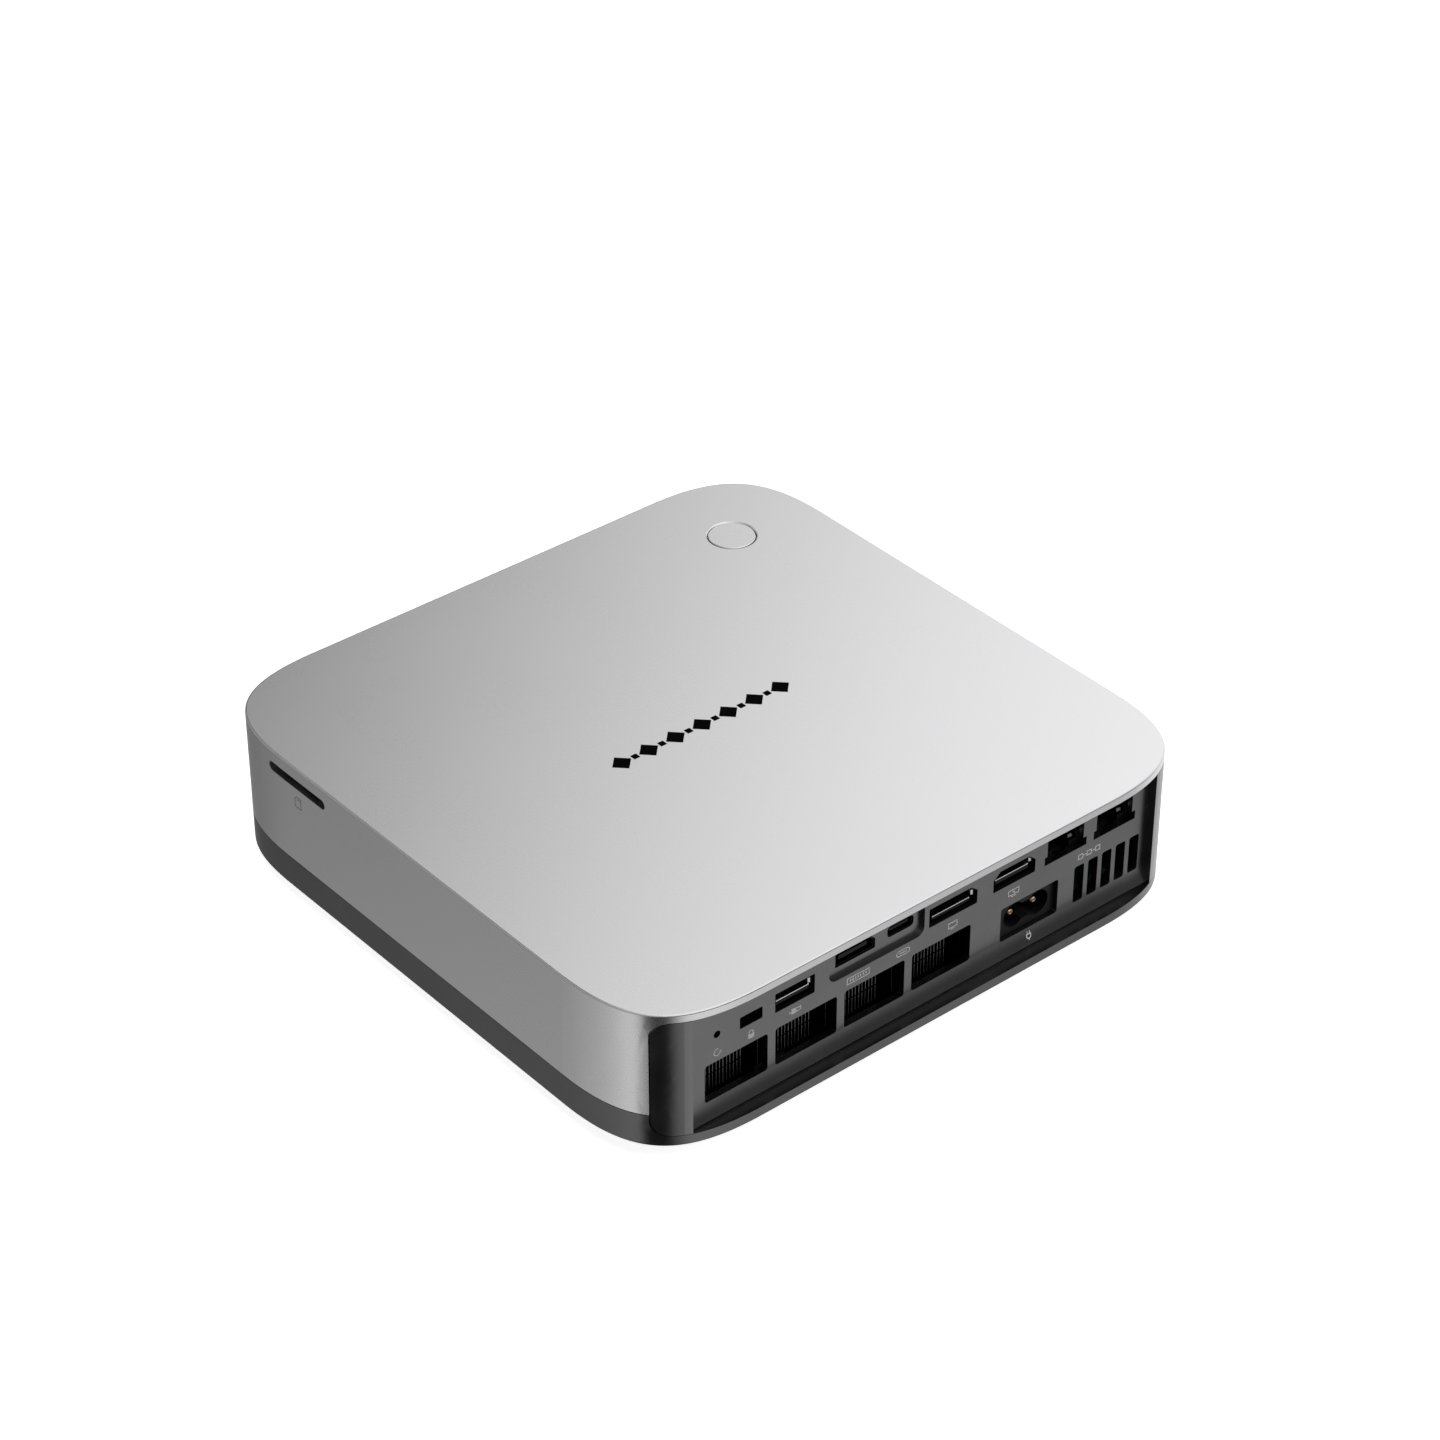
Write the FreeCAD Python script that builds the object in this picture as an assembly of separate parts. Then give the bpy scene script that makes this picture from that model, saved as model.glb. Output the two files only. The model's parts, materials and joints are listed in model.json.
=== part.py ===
import FreeCAD, Part
import math
import os

V = FreeCAD.Vector

# Mini desktop computer: a flat rounded-square box that stands on four rubber feet.
# Millimetres. +Z is up, the front faces -Y, the rear ports face +Y, and +X is the right side
# seen from the front. The origin is the middle of the plane that the feet stand on.

# ---------------------------------------------------------------- driving dimensions
WIDTH = 195.0                 # overall width and depth
HEIGHT = 47.5                 # overall height, feet included
FOOT_HEIGHT = 4.8             # how far the feet stand out below the base
BASE_BAND = 9.9               # height of the dark base's side band
CORNER_REACH = 36.0           # where a corner starts to leave the straight side
CORNER_PULL = 0.731           # how far each handle of the corner curve reaches along it
OFFSET_SHRINK = 1.297         # corner reach lost per millimetre of inset, for an even wall
WALL = 2.4                    # shell and base wall thickness
TOP_THICK = 2.45              # shell top plate
SEAM = 0.2                    # gap between shell and base
BASE_FLOOR = 2.6              # base floor thickness
COVER_THICK = 1.4             # bottom cover
EDGE_ROUND = 0.45             # rounding of the outer edges
TOUCH = 0.05                  # gap left between pieces that touch

REAR_HALF = 90.7              # half width of the rear opening
REAR_RADIUS = 4.5             # its corner radius
SHELF_Z = 8.0                 # top of the base where it carries the rear panel
RECESS_HALF = 81.6            # half width of the recess that the ports stand in
PANEL_Y = 92.0                # outer face of the port panel
PANEL_THICK = 2.1
POCKET_DEPTH = 1.35           # shallow pocket around the two small ports
FIT = 0.3                     # gap around the rear panel

BOARD_LOW = 38.4              # underside of the main board
BOARD_THICK = 1.6
POST = 82.0                   # corner screw posts, distance from each centre line
POST_RADIUS = 3.6
LARGE_TAP = 1.25              # radius of the holes that the case screws bite into
SMALL_TAP = 0.95              # the same for the small screws

BUTTON_AT = (-68.67, -68.67)
BUTTON_RADIUS = 7.0
BUTTON_HOLE = 7.3
BUTTON_SUNK = 0.05            # how far the cap lies below the top
BUTTON_TRAVEL = 0.4
RESET_AT = (71.7, 33.9)       # X and Z of the reset pinhole
RESET_RADIUS = 0.9

BLOWER_AT = (30.0, 26.0)
BLOWER_RADIUS = 38.0
FAN_AT = (-48.0, -44.0)
FAN_RADIUS = 27.5

half = WIDTH / 2
base_z = FOOT_HEIGHT
band_z = FOOT_HEIGHT + BASE_BAND
floor_z = base_z + BASE_FLOOR
ceiling_z = HEIGHT - TOP_THICK
board_top = BOARD_LOW + BOARD_THICK
under_board = BOARD_LOW - TOUCH
panel_back = PANEL_Y - PANEL_THICK
pocket_y = PANEL_Y - POCKET_DEPTH
outside = half + 1.5          # a place clear of the body, where through cuts start


# ---------------------------------------------------------------- shape helpers
def box(x0, x1, y0, y1, z0, z1):
    return Part.makeBox(x1 - x0, y1 - y0, z1 - z0, V(x0, y0, z0))


def rod(x, y, z0, z1, radius):
    """Upright cylinder."""
    return Part.makeCylinder(radius, z1 - z0, V(x, y, z0))


def rod_y(x, z, y0, y1, radius):
    """Cylinder lying front to back."""
    return Part.makeCylinder(radius, y1 - y0, V(x, y0, z), V(0, 1, 0))


def join(first, *others):
    """One solid from several that overlap, without the seams between their faces."""
    solid = first
    if others:
        solid = first.fuse(list(others))
    return solid.removeSplitter()


def around(solid, centre, count, start=0.0):
    """Copies of a solid, evenly spaced around an upright axis."""
    copies = []
    for i in range(count):
        one = solid.copy()
        one.rotate(V(*centre, 0), V(0, 0, 1), start + 360.0 / count * i)
        copies.append(one)
    return copies


def in_plane(axis, level, a, b):
    """The point (a, b) of the plane at right angles to axis, in X, Y, Z order."""
    if axis == "X":
        return V(level, a, b)
    if axis == "Y":
        return V(a, level, b)
    return V(a, b, level)


def corner(before, at, after, radius):
    """Start, middle and end of the arc that rounds one corner of an outline."""
    to_before = (before - at).normalize()
    to_after = (after - at).normalize()
    half_angle = to_before.getAngle(to_after) / 2
    start = at + to_before * (radius / math.tan(half_angle))
    end = at + to_after * (radius / math.tan(half_angle))
    inward = (to_before + to_after).normalize()
    middle = at + inward * (radius / math.sin(half_angle) - radius)
    return start, middle, end


def plate(axis, low, high, points, radii=0.0):
    """Solid between low and high along axis, with the outline points and rounded corners."""
    if isinstance(radii, (int, float)):
        radii = [radii] * len(points)
    flat = [in_plane(axis, low, a, b) for a, b in points]
    edges = []
    joints = []
    for i, at in enumerate(flat):
        if radii[i] > 0:
            start, middle, end = corner(flat[i - 1], at, flat[(i + 1) % len(flat)], radii[i])
            edges.append(Part.Arc(start, middle, end).toShape())
            joints.append((start, end))
        else:
            joints.append((at, at))
    for i in range(len(joints)):
        here = joints[i][1]
        there = joints[(i + 1) % len(joints)][0]
        if here.distanceToPoint(there) > 1e-6:
            edges.append(Part.LineSegment(here, there).toShape())
    face = Part.Face(Part.Wire(Part.__sortEdges__(edges)))
    return face.extrude(in_plane(axis, high - low, 0, 0))


def rectangle(a0, a1, b0, b1):
    return [(a0, b0), (a1, b0), (a1, b1), (a0, b1)]


def centred(a, b, width, height):
    """Rectangle about a middle point."""
    return rectangle(a - width / 2, a + width / 2, b - height / 2, b + height / 2)


def square(side):
    """Square about the machine's centre, by its half side."""
    return rectangle(-side, side, -side, side)


def body_prism(inset, z0, z1):
    """The rounded-square outline of the whole machine, drawn in by inset, between two heights."""
    side = half - inset
    reach = CORNER_REACH - OFFSET_SHRINK * inset
    start = side - reach
    handle = start + CORNER_PULL * reach
    edges = []
    for turn in range(4):
        run = Part.LineSegment(V(side, -start, z0), V(side, start, z0)).toShape()
        curve = Part.BezierCurve()
        curve.setPoles([V(side, start, z0), V(side, handle, z0), V(handle, side, z0), V(start, side, z0)])
        for edge in (run, curve.toShape()):
            edge.rotate(V(0, 0, 0), V(0, 0, 1), 90 * turn)
            edges.append(edge)
    return Part.Face(Part.Wire(edges)).extrude(V(0, 0, z1 - z0))


def edges_at(solid, z):
    """The edges that lie wholly at one height."""
    return [e for e in solid.Edges if abs(e.BoundBox.ZMin - z) < 1e-4 and abs(e.BoundBox.ZMax - z) < 1e-4]


def four(x, y):
    """The same place in each quarter of the plan."""
    return [(x, y), (-x, y), (-x, -y), (x, -y)]


def rear_cut(points, radii=0.0):
    """Through cut from the rear, in X and Z, reaching in past the panel."""
    return plate("Y", PANEL_Y - 8, outside, points, radii)


def front_cut(points, radii=0.0):
    """Through cut in the shell's front wall."""
    return plate("Y", -outside, -half + WALL + 1, points, radii)


os.makedirs("parts", exist_ok=True)


def save(node, *solids):
    """Writes one node, which may hold several separate solids."""
    shape = solids[0]
    if len(solids) > 1:
        shape = Part.makeCompound(list(solids))
    shape.exportStep("parts/" + node + ".step")
    valid = all(s.isValid() for s in shape.Solids)
    print("%-22s solids %2d  volume %9.1f  valid %s" % (node, len(shape.Solids), shape.Volume, valid))


# ---------------------------------------------------------------- port layout
def usb_a_outline(x):
    """Mouth of a full-size USB port."""
    return centred(x, 33.65, 13.4, 6.1)


def usb_c_outline(x):
    """Mouth of a small USB port."""
    return centred(x, 35.85, 9.2, 3.5)


# Outlines in X and Z, as they are cut in the rear panel.
usb_a_cut = usb_a_outline(45.7)
usb_c_cut = usb_c_outline(8.3)
lock_cut = centred(60.4, 33.35, 7.55, 3.7)
display_cut = [(-17.9, 31.4), (-0.7, 31.4), (-0.7, 37.5), (-15.6, 37.5), (-17.9, 35.7)]
hdmi_cut = [(-39.0, 31.5), (-23.7, 31.5), (-23.7, 35.5), (-26.1, 37.6), (-36.7, 37.6), (-39.0, 35.6)]
expansion_cut = [(17.1, 33.35), (30.9, 33.35), (30.9, 37.9), (18.7, 37.9), (17.1, 36.3)]
pocket_cut = rectangle(0.95, 34.1, 30.4, ceiling_z + 0.5)
inlet_cut = rectangle(-48.15, -27.0, 13.3, 24.4)
network_at = [-50.25, -68.55]
vent_at = [-5.45 + 23.58 * i for i in range(4)]
slot_at = [-55.95 - 5.2 * i for i in range(5)]
VENT_LOW = 13.25
VENT_HIGH = 25.25


def network_cut(x):
    """A network socket's window: wide at the bottom, then narrower up to the lip."""
    step = 34.1
    return [
        (x - 7.85, 31.4), (x + 7.75, 31.4), (x + 7.75, step), (x + 6.85, step),
        (x + 6.85, ceiling_z + 0.5), (x - 6.6, ceiling_z + 0.5), (x - 6.6, step), (x - 7.85, step),
    ]


# Places in the shell's walls: front ports and light in X and Z, card slot in Y and Z.
front_usb_at = [32.0, 52.0]
front_usb_c_at = 15.0
audio_at = (1.0, 34.9)
light_at = (-56.0, 35.85)
slot_y0 = -67.25
slot_y1 = -41.1
slot_z0 = 40.8
slot_z1 = 43.8

# ---------------------------------------------------------------- top shell
rear_opening = plate(
    "Y", PANEL_Y - 10, outside, rectangle(-REAR_HALF, REAR_HALF, SHELF_Z, ceiling_z), REAR_RADIUS
)
slot_radius = (slot_z1 - slot_z0) / 2 - 0.01
card_slot = plate("X", half - 7, outside, rectangle(slot_y0, slot_y1, slot_z0, slot_z1), slot_radius)
button_hole = rod(*BUTTON_AT, ceiling_z - 1, HEIGHT + 1, BUTTON_HOLE)
bevel = 0.35
button_bevel = Part.makeCone(BUTTON_HOLE, BUTTON_HOLE + bevel, bevel, V(*BUTTON_AT, HEIGHT - bevel))

front_cuts = [front_cut(usb_a_outline(x), 0.3) for x in front_usb_at]
front_cuts.append(front_cut(usb_c_outline(front_usb_c_at), 1.5))
front_cuts.append(rod_y(*audio_at, -outside, -half + WALL + 1, 3.1))
front_cuts.append(rod_y(*light_at, -outside, -half + WALL + 1, 1.05))

board_screw_at = [(-87.5, 40), (-87.5, -30), (-8, -84), (87.5, -30), (87.5, 40), (20, 62)]
bracket_screw_at = [(BUTTON_AT[0] - 11, BUTTON_AT[1]), (BUTTON_AT[0] + 11, BUTTON_AT[1])]
bracket_z = 40.7
BRACKET_THICK = 0.8
bracket_top = bracket_z + BRACKET_THICK

post_foot = band_z + 2.6
tap_start = 0.5               # how far below a post's foot its screw hole is started
rooted = ceiling_z + 0.5      # posts reach this far into the top plate
posts = [rod(x, y, post_foot, rooted, POST_RADIUS) for x, y in four(POST, POST)]
posts += [rod(x, y, board_top, rooted, 2.8) for x, y in board_screw_at]
posts += [rod(x, y, bracket_top, rooted, 1.8) for x, y in bracket_screw_at]
post_holes = [rod(x, y, post_foot - tap_start, 30, LARGE_TAP) for x, y in four(POST, POST)]
post_holes += [rod(x, y, board_top - tap_start, board_top + 4, SMALL_TAP) for x, y in board_screw_at]
post_holes += [rod(x, y, bracket_top - tap_start, 44.5, SMALL_TAP) for x, y in bracket_screw_at]

shell = body_prism(0, band_z + SEAM, HEIGHT)
shell = shell.makeFillet(EDGE_ROUND, edges_at(shell, HEIGHT))
shell = shell.cut(body_prism(WALL, band_z, ceiling_z))
shell = shell.cut([rear_opening, card_slot, button_hole, button_bevel] + front_cuts)
shell = join(shell, *posts).cut(post_holes)
save("top_shell", shell)

# ---------------------------------------------------------------- base
COVER_HALF = 83.9             # half side of the square bottom cover
COVER_RADIUS = 23.9
cover_z = base_z + 0.1
cover_top = cover_z + COVER_THICK
cover_seat = cover_top + 0.1
cover_screw_at = four(48, 78.5)

lip_in = WALL + 0.3           # the lip inside the seam that centres the shell
lip_thick = 1.3
inner_lip = body_prism(lip_in, floor_z - 0.5, band_z + 2.4)
inner_lip = inner_lip.cut(body_prism(lip_in + lip_thick, base_z, band_z + 3))
shelf = body_prism(1.0, floor_z - 1, SHELF_Z).common(box(-91, 91, 88, half - 0.5, base_z, SHELF_Z + 1))
tabs = [rod(x, y, cover_seat, cover_seat + 5.6, 3.4) for x, y in cover_screw_at]
for x, y in cover_screw_at:
    ends = sorted((y, y * 1.08))
    tabs.append(box(x - 5, x + 5, *ends, cover_seat, cover_seat + 2.6))
pillars = [rod(x, y, base_z + 1.2, band_z + 2.5, 4.0) for x, y in four(POST, POST)]
screw_ways = [rod(x, y, base_z - 1, post_foot + 3, 1.5) for x, y in four(POST, POST)]
screw_ways += [rod(x, y, base_z - 1, 8.5, 3.0) for x, y in four(POST, POST)]
screw_ways += [rod(x, y, cover_seat - 1, 11, SMALL_TAP) for x, y in cover_screw_at]

base = body_prism(0, base_z, band_z)
base = base.makeFillet(EDGE_ROUND, edges_at(base, base_z))
base = base.cut(body_prism(WALL, floor_z, band_z + 1))
base = join(base, inner_lip, shelf)
base = base.cut([
    plate("Y", PANEL_Y - 10, outside, rectangle(-REAR_HALF, REAR_HALF, SHELF_Z, HEIGHT), REAR_RADIUS),
    plate("Z", base_z - 1, cover_seat, square(COVER_HALF + FIT), COVER_RADIUS + FIT),
    plate("Z", base_z, floor_z + 1, square(80), 20.0),
])
base = join(base, *tabs, *pillars).cut(screw_ways)
save("base_case", base)

# ---------------------------------------------------------------- bottom cover and feet
FOOT_RADIUS = 10.0
foot_at = four(68, 68)
foot_top = cover_z + 0.5      # each foot sits in a shallow seat in the cover

intake = []
for row_y in (-36.0, 2.0, 40.0):
    for column in range(-11, 12):
        intake.append(plate("Z", cover_z - 1, cover_top + 1, centred(5.4 * column, row_y, 3.0, 34.0), 1.49))
cover_holes = [rod(x, y, cover_z - 1, cover_top + 1, 1.15) for x, y in cover_screw_at]
cover_holes += [Part.makeCone(2.55, 1.15, 1.1, V(x, y, cover_z - TOUCH)) for x, y in cover_screw_at]
foot_seats = [rod(x, y, cover_z - 1, foot_top, FOOT_RADIUS + 0.15) for x, y in foot_at]
cover = plate("Z", cover_z, cover_top, square(COVER_HALF), COVER_RADIUS)
save("bottom_cover", cover.cut(intake + cover_holes + foot_seats))


def foot(x, y):
    solid = rod(x, y, 0, foot_top, FOOT_RADIUS)
    return solid.makeFillet(0.9, edges_at(solid, 0))


save("rubber_feet", *[foot(x, y) for x, y in foot_at])


# ---------------------------------------------------------------- screws
CROSS_WIDTH = 0.5             # width of the arms of a cross recess


def cross_recess(x, y, z0, z1, arm):
    """The tool that cuts a cross recess, with arms of this length."""
    across = box(x - arm, x + arm, y - CROSS_WIDTH / 2, y + CROSS_WIDTH / 2, z0, z1)
    along = box(x - CROSS_WIDTH / 2, x + CROSS_WIDTH / 2, y - arm, y + arm, z0, z1)
    return across.fuse(along)


def screw(x, y, z_head, head_radius, head_height, shank_radius, length):
    """A screw driven upwards: its head at z_head, its shank above, a cross recess below."""
    under_head = z_head + head_height
    solid = join(
        rod(x, y, z_head, under_head, head_radius),
        rod(x, y, under_head - 0.1, under_head + length, shank_radius),
    )
    return solid.cut(cross_recess(x, y, z_head - 1, z_head + head_height * 0.6, head_radius * 0.6))


def flush_screw(x, y):
    """A countersunk cover screw, head flush with the cover's underside."""
    head_z = cover_z + TOUCH
    solid = join(
        Part.makeCone(2.3, 1.0, 1.0, V(x, y, head_z)),
        rod(x, y, head_z + 0.95, cover_seat + 4.1, 0.9),
    )
    return solid.cut(cross_recess(x, y, head_z - 1, head_z + 0.55, 1.3))


save("cover_screws", *[flush_screw(x, y) for x, y in cover_screw_at])
save("case_screws", *[
    screw(x, y, z_head=6.4, head_radius=2.7, head_height=2.0, shank_radius=1.2, length=18)
    for x, y in four(POST, POST)
])

# ---------------------------------------------------------------- rear panel
panel_outline = rectangle(
    -REAR_HALF + FIT, REAR_HALF - FIT, SHELF_Z + FIT / 2, ceiling_z - FIT / 2
)
panel_window = plate("Y", 80, outside, panel_outline, REAR_RADIUS - FIT)
above_panel = ceiling_z + 1
skin = body_prism(0, base_z, above_panel).cut(body_prism(WALL, base_z - 1, above_panel + 1))
web_half = RECESS_HALF + 2
web = body_prism(0, base_z, above_panel)
web = web.common(box(-web_half, web_half, panel_back, half + 0.5, base_z, above_panel))
pocket_pad = box(-1.2, 36.2, pocket_y - 1.6, panel_back + 0.5, 28.6, ceiling_z - FIT / 2)
panel = join(skin.common(panel_window), web.common(panel_window), pocket_pad)

# The port recess: a flat back that sweeps outwards to meet the base.
sweep_top = 13.8
sweep_bottom = 7.0
sweep_radius = 13.0
sweep_mid = (sweep_top + sweep_bottom) / 2


def sweep_y(z):
    """How far out the swept foot of the panel reaches at height z."""
    return PANEL_Y + sweep_radius - math.sqrt(sweep_radius**2 - (sweep_top - z) ** 2)


def recess(x0, x1):
    """The tool that cuts the recess between two places along the panel."""
    start = V(x0, PANEL_Y, sweep_top)
    middle = V(x0, sweep_y(sweep_mid), sweep_mid)
    end = V(x0, sweep_y(sweep_bottom), sweep_bottom)
    above = HEIGHT - 0.5
    corners = [end, V(x0, outside, sweep_bottom), V(x0, outside, above), V(x0, PANEL_Y, above), start]
    edges = [Part.Arc(start, middle, end).toShape()]
    edges += [Part.LineSegment(a, b).toShape() for a, b in zip(corners, corners[1:])]
    return Part.Face(Part.Wire(edges)).extrude(V(x1 - x0, 0, 0))


cuts = [recess(-RECESS_HALF, RECESS_HALF)]
cuts.append(plate("Y", pocket_y, outside, pocket_cut, [2.6, 2.6, 0, 0]))
for outline, radius in (
    (usb_a_cut, 0.3), (lock_cut, 0.4), (display_cut, 0.3), (hdmi_cut, 0.3),
    (expansion_cut, 0.3), (usb_c_cut, 1.2), (inlet_cut, 0.8),
):
    cuts.append(rear_cut(outline, radius))
cuts += [rear_cut(network_cut(x)) for x in network_at]
cuts += [rear_cut(rectangle(x - 10.5, x + 10.5, VENT_LOW, VENT_HIGH), 0.9) for x in vent_at]
cuts += [rear_cut(rectangle(x - 1.83, x + 1.83, VENT_LOW, VENT_HIGH), 0.7) for x in slot_at]
cuts.append(rod_y(*RESET_AT, PANEL_Y - 8, outside, RESET_RADIUS + 0.2))
save("rear_panel", panel.cut(cuts))

lock_x = (lock_cut[0][0] + lock_cut[1][0]) / 2
lock_z = (lock_cut[0][1] + lock_cut[2][1]) / 2
lock_plate = plate("Y", panel_back - 1.1, panel_back - TOUCH, centred(lock_x, lock_z, 13.4, 9.8))
save("lock_plate", lock_plate.cut(rear_cut(centred(lock_x, lock_z, 7.0, 3.1), 0.4)))


# ---------------------------------------------------------------- sockets
def span(*values):
    return min(values), max(values)


def shrink(points, by):
    """A convex outline drawn in by a distance along both of its own axes."""
    a_low, a_high = span(*[a for a, b in points])
    b_low, b_high = span(*[b for a, b in points])
    a_mid = (a_low + a_high) / 2
    b_mid = (b_low + b_high) / 2
    a_scale = 1 - 2 * by / (a_high - a_low)
    b_scale = 1 - 2 * by / (b_high - b_low)
    return [(a_mid + (a - a_mid) * a_scale, b_mid + (b - b_mid) * b_scale) for a, b in points]


SHEET = 0.3                   # metal of the socket shells
BACK_WALL = 0.4
PLUG_THICK = 3.6              # plastic block in the back of each socket
TONGUE_SHORT = 0.35           # how far a tongue's end stays behind the mouth


def socket_pair(cut, y_mouth, depth, gap, tongue, radius=0.0, face=1):
    """Metal shell and plastic insert of one port. face is +1 at the rear, -1 at the front."""
    y_back = y_mouth - face * depth
    inner_radius = max(radius - SHEET, 0)
    outer = plate("Y", *span(y_back, y_mouth), shrink(cut, gap), radius)
    room_span = span(y_back + face * BACK_WALL, y_mouth + face)
    shell = outer.cut(plate("Y", *room_span, shrink(cut, gap + SHEET), inner_radius))

    # The shell hangs from the board by a short foot.
    x_low, x_high = span(*[a for a, b in cut])
    x_mid = (x_low + x_high) / 2
    roof = max(b for a, b in cut) - gap - SHEET / 2
    shell = join(shell, box(x_mid - 3, x_mid + 3, *span(y_back, y_back + face * 5), roof, under_board))

    plug_front = y_back + face * (BACK_WALL + PLUG_THICK)
    plug_span = span(y_back + face * (BACK_WALL + TOUCH), plug_front)
    plug = plate("Y", *plug_span, shrink(cut, gap + SHEET + TOUCH), inner_radius)
    x0, x1, z0, z1 = tongue
    blade = box(x0, x1, *span(plug_front - face * 0.1, y_mouth - face * TONGUE_SHORT), z0, z1)
    return shell, join(plug, blade)


def usb_a_tongue(x):
    return x - 5.55, x + 5.55, 31.9, 33.3


def usb_c_tongue(x):
    return x - 3.35, x + 3.35, 35.5, 36.2


LOOSE = 0.2                   # gap between a port's shell and its cut-out
SNUG = 0.12
mouth = PANEL_Y - 0.8
pocket_mouth = pocket_y - 0.4
ports = {
    "usb_a_rear": socket_pair(usb_a_cut, mouth, 16, LOOSE, usb_a_tongue(45.7)),
    "hdmi": socket_pair(hdmi_cut, mouth, 12, LOOSE, (-37.3, -25.4, 32.9, 34.4)),
    "displayport": socket_pair(display_cut, mouth, 13, LOOSE, (-16.0, -2.7, 32.4, 33.6)),
    "expansion": socket_pair(expansion_cut, pocket_mouth, 13, LOOSE, (19.4, 29.2, 35.0, 36.2)),
    "usb_c_rear": socket_pair(usb_c_cut, pocket_mouth, 9, SNUG, usb_c_tongue(8.3), radius=1.2),
}
for name, (metal, plastic) in ports.items():
    save(name + "_shell", metal)
    save(name + "_insert", plastic)

front_mouth = -half + 0.8
front_pairs = [
    socket_pair(usb_a_outline(x), front_mouth, 16, LOOSE, usb_a_tongue(x), face=-1)
    for x in front_usb_at
]
save("usb_a_front_shells", *[pair[0] for pair in front_pairs])
save("usb_a_front_inserts", *[pair[1] for pair in front_pairs])
metal, plastic = socket_pair(
    usb_c_outline(front_usb_c_at), front_mouth - 0.2, 9, SNUG, usb_c_tongue(front_usb_c_at), 1.2, -1
)
save("usb_c_front_shell", metal)
save("usb_c_front_insert", plastic)

# ---------------------------------------------------------------- audio jack and status light
JACK_BORE = 1.8
jack_face = -half + WALL + 0.3
jack_x = audio_at[0]
jack = box(jack_x - 3.4, jack_x + 3.4, jack_face, -81, 31.4, under_board)
jack = join(jack, rod_y(*audio_at, front_mouth - 0.2, jack_face + 0.1, 2.9))
save("audio_jack", jack.cut(rod_y(*audio_at, -outside, -83, JACK_BORE)))
save("status_light", rod_y(*light_at, -half + 0.2, -88, 0.95))

# ---------------------------------------------------------------- network sockets
CAN_FRONT = 69.0
CAN_LOW = 31.0
CAN_HIGH = 44.6
CAN_HALF = 7.9
can_wall = 0.4


def network_socket(x):
    """Metal can of a network socket, open to the rear, and the plastic block in its back."""
    can_back = panel_back - 0.1
    hollow_half = CAN_HALF - can_wall
    hollow = (CAN_FRONT + can_wall, can_back - 0.9, CAN_LOW + 0.3, CAN_HIGH - can_wall)
    plug_room = box(x - 6.0, x + 6.0, 74, can_back + 1, 33.4, 41.6)
    latch_room = join(
        box(x - 3.1, x + 3.1, 74, can_back + 1, 31.9, 33.6),
        box(x - 2, x + 2, 74, can_back + 1, 31.4, 32),
    )
    can = box(x - CAN_HALF, x + CAN_HALF, CAN_FRONT, can_back, CAN_LOW, CAN_HIGH)
    can = can.cut([box(x - hollow_half, x + hollow_half, *hollow), plug_room, latch_room])
    y0, y1, z0, z1 = hollow
    block_half = hollow_half - TOUCH
    block = box(x - block_half, x + block_half, y0 + TOUCH, y1 - 0.1, z0 + TOUCH, z1 - TOUCH)
    return can, block.cut([plug_room, latch_room])


network = [network_socket(x) for x in network_at]
save("network_shells", *[pair[0] for pair in network])
save("network_inserts", *[pair[1] for pair in network])

# ---------------------------------------------------------------- mains inlet: figure of eight
inlet_z = 18.85
pin_at = [-33.3, -41.9]
PIN_RADIUS = 1.17
PIN_TIP_Y = PANEL_Y - 2.4
inlet_face = PANEL_Y - 1.4
inlet_floor = 78.0            # how deep the plug goes in

(x0, z0), _, (x1, z1), _ = inlet_cut
inlet = plate("Y", 72, inlet_face, rectangle(x0 + 0.15, x1 - 0.15, z0 + 0.15, z1 - 0.15), 0.8)
inlet_room = join(
    *[rod_y(x, inlet_z, inlet_floor, PANEL_Y, 3.9) for x in pin_at],
    box(min(pin_at), max(pin_at), inlet_floor, PANEL_Y, inlet_z - 2.65, inlet_z + 2.65),
)
pin_holes = [rod_y(x, inlet_z, 70, inlet_floor + 1, PIN_RADIUS + 0.03) for x in pin_at]
save("mains_inlet", inlet.cut([inlet_room] + pin_holes))


def mains_pin(x):
    """Round pin with a domed tip."""
    solid = rod_y(x, inlet_z, 70.5, PIN_TIP_Y, PIN_RADIUS)
    tip = [e for e in solid.Edges if abs(e.BoundBox.YMin - PIN_TIP_Y) < 1e-4]
    return solid.makeFillet(PIN_RADIUS - 0.07, tip)


save("mains_pins", *[mains_pin(x) for x in pin_at])

# ---------------------------------------------------------------- card reader
reader = box(66, 94.8, slot_y0 - 0.75, slot_y1 + 0.8, board_top + TOUCH, 44.6)
card_room = box(69, half - 1.5, slot_y0 + 1.05, slot_y1 - 1.0, slot_z0 + 0.4, slot_z1 - 0.4)
save("card_reader", reader.cut(card_room))

# ---------------------------------------------------------------- buttons
bx, by = BUTTON_AT
cap_top = HEIGHT - BUTTON_SUNK
flange_top = ceiling_z - 0.15
flange_low = flange_top - 1.0
stem_foot = flange_low - 1.0
cap = rod(bx, by, flange_top, cap_top, BUTTON_RADIUS)
cap = cap.makeChamfer(0.2, edges_at(cap, cap_top))
flange = rod(bx, by, flange_low, flange_top, BUTTON_RADIUS + 1.2)
stem = rod(bx, by, stem_foot, flange_low + 0.1, 2.0)
save("power_button", join(cap, flange, stem))

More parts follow.
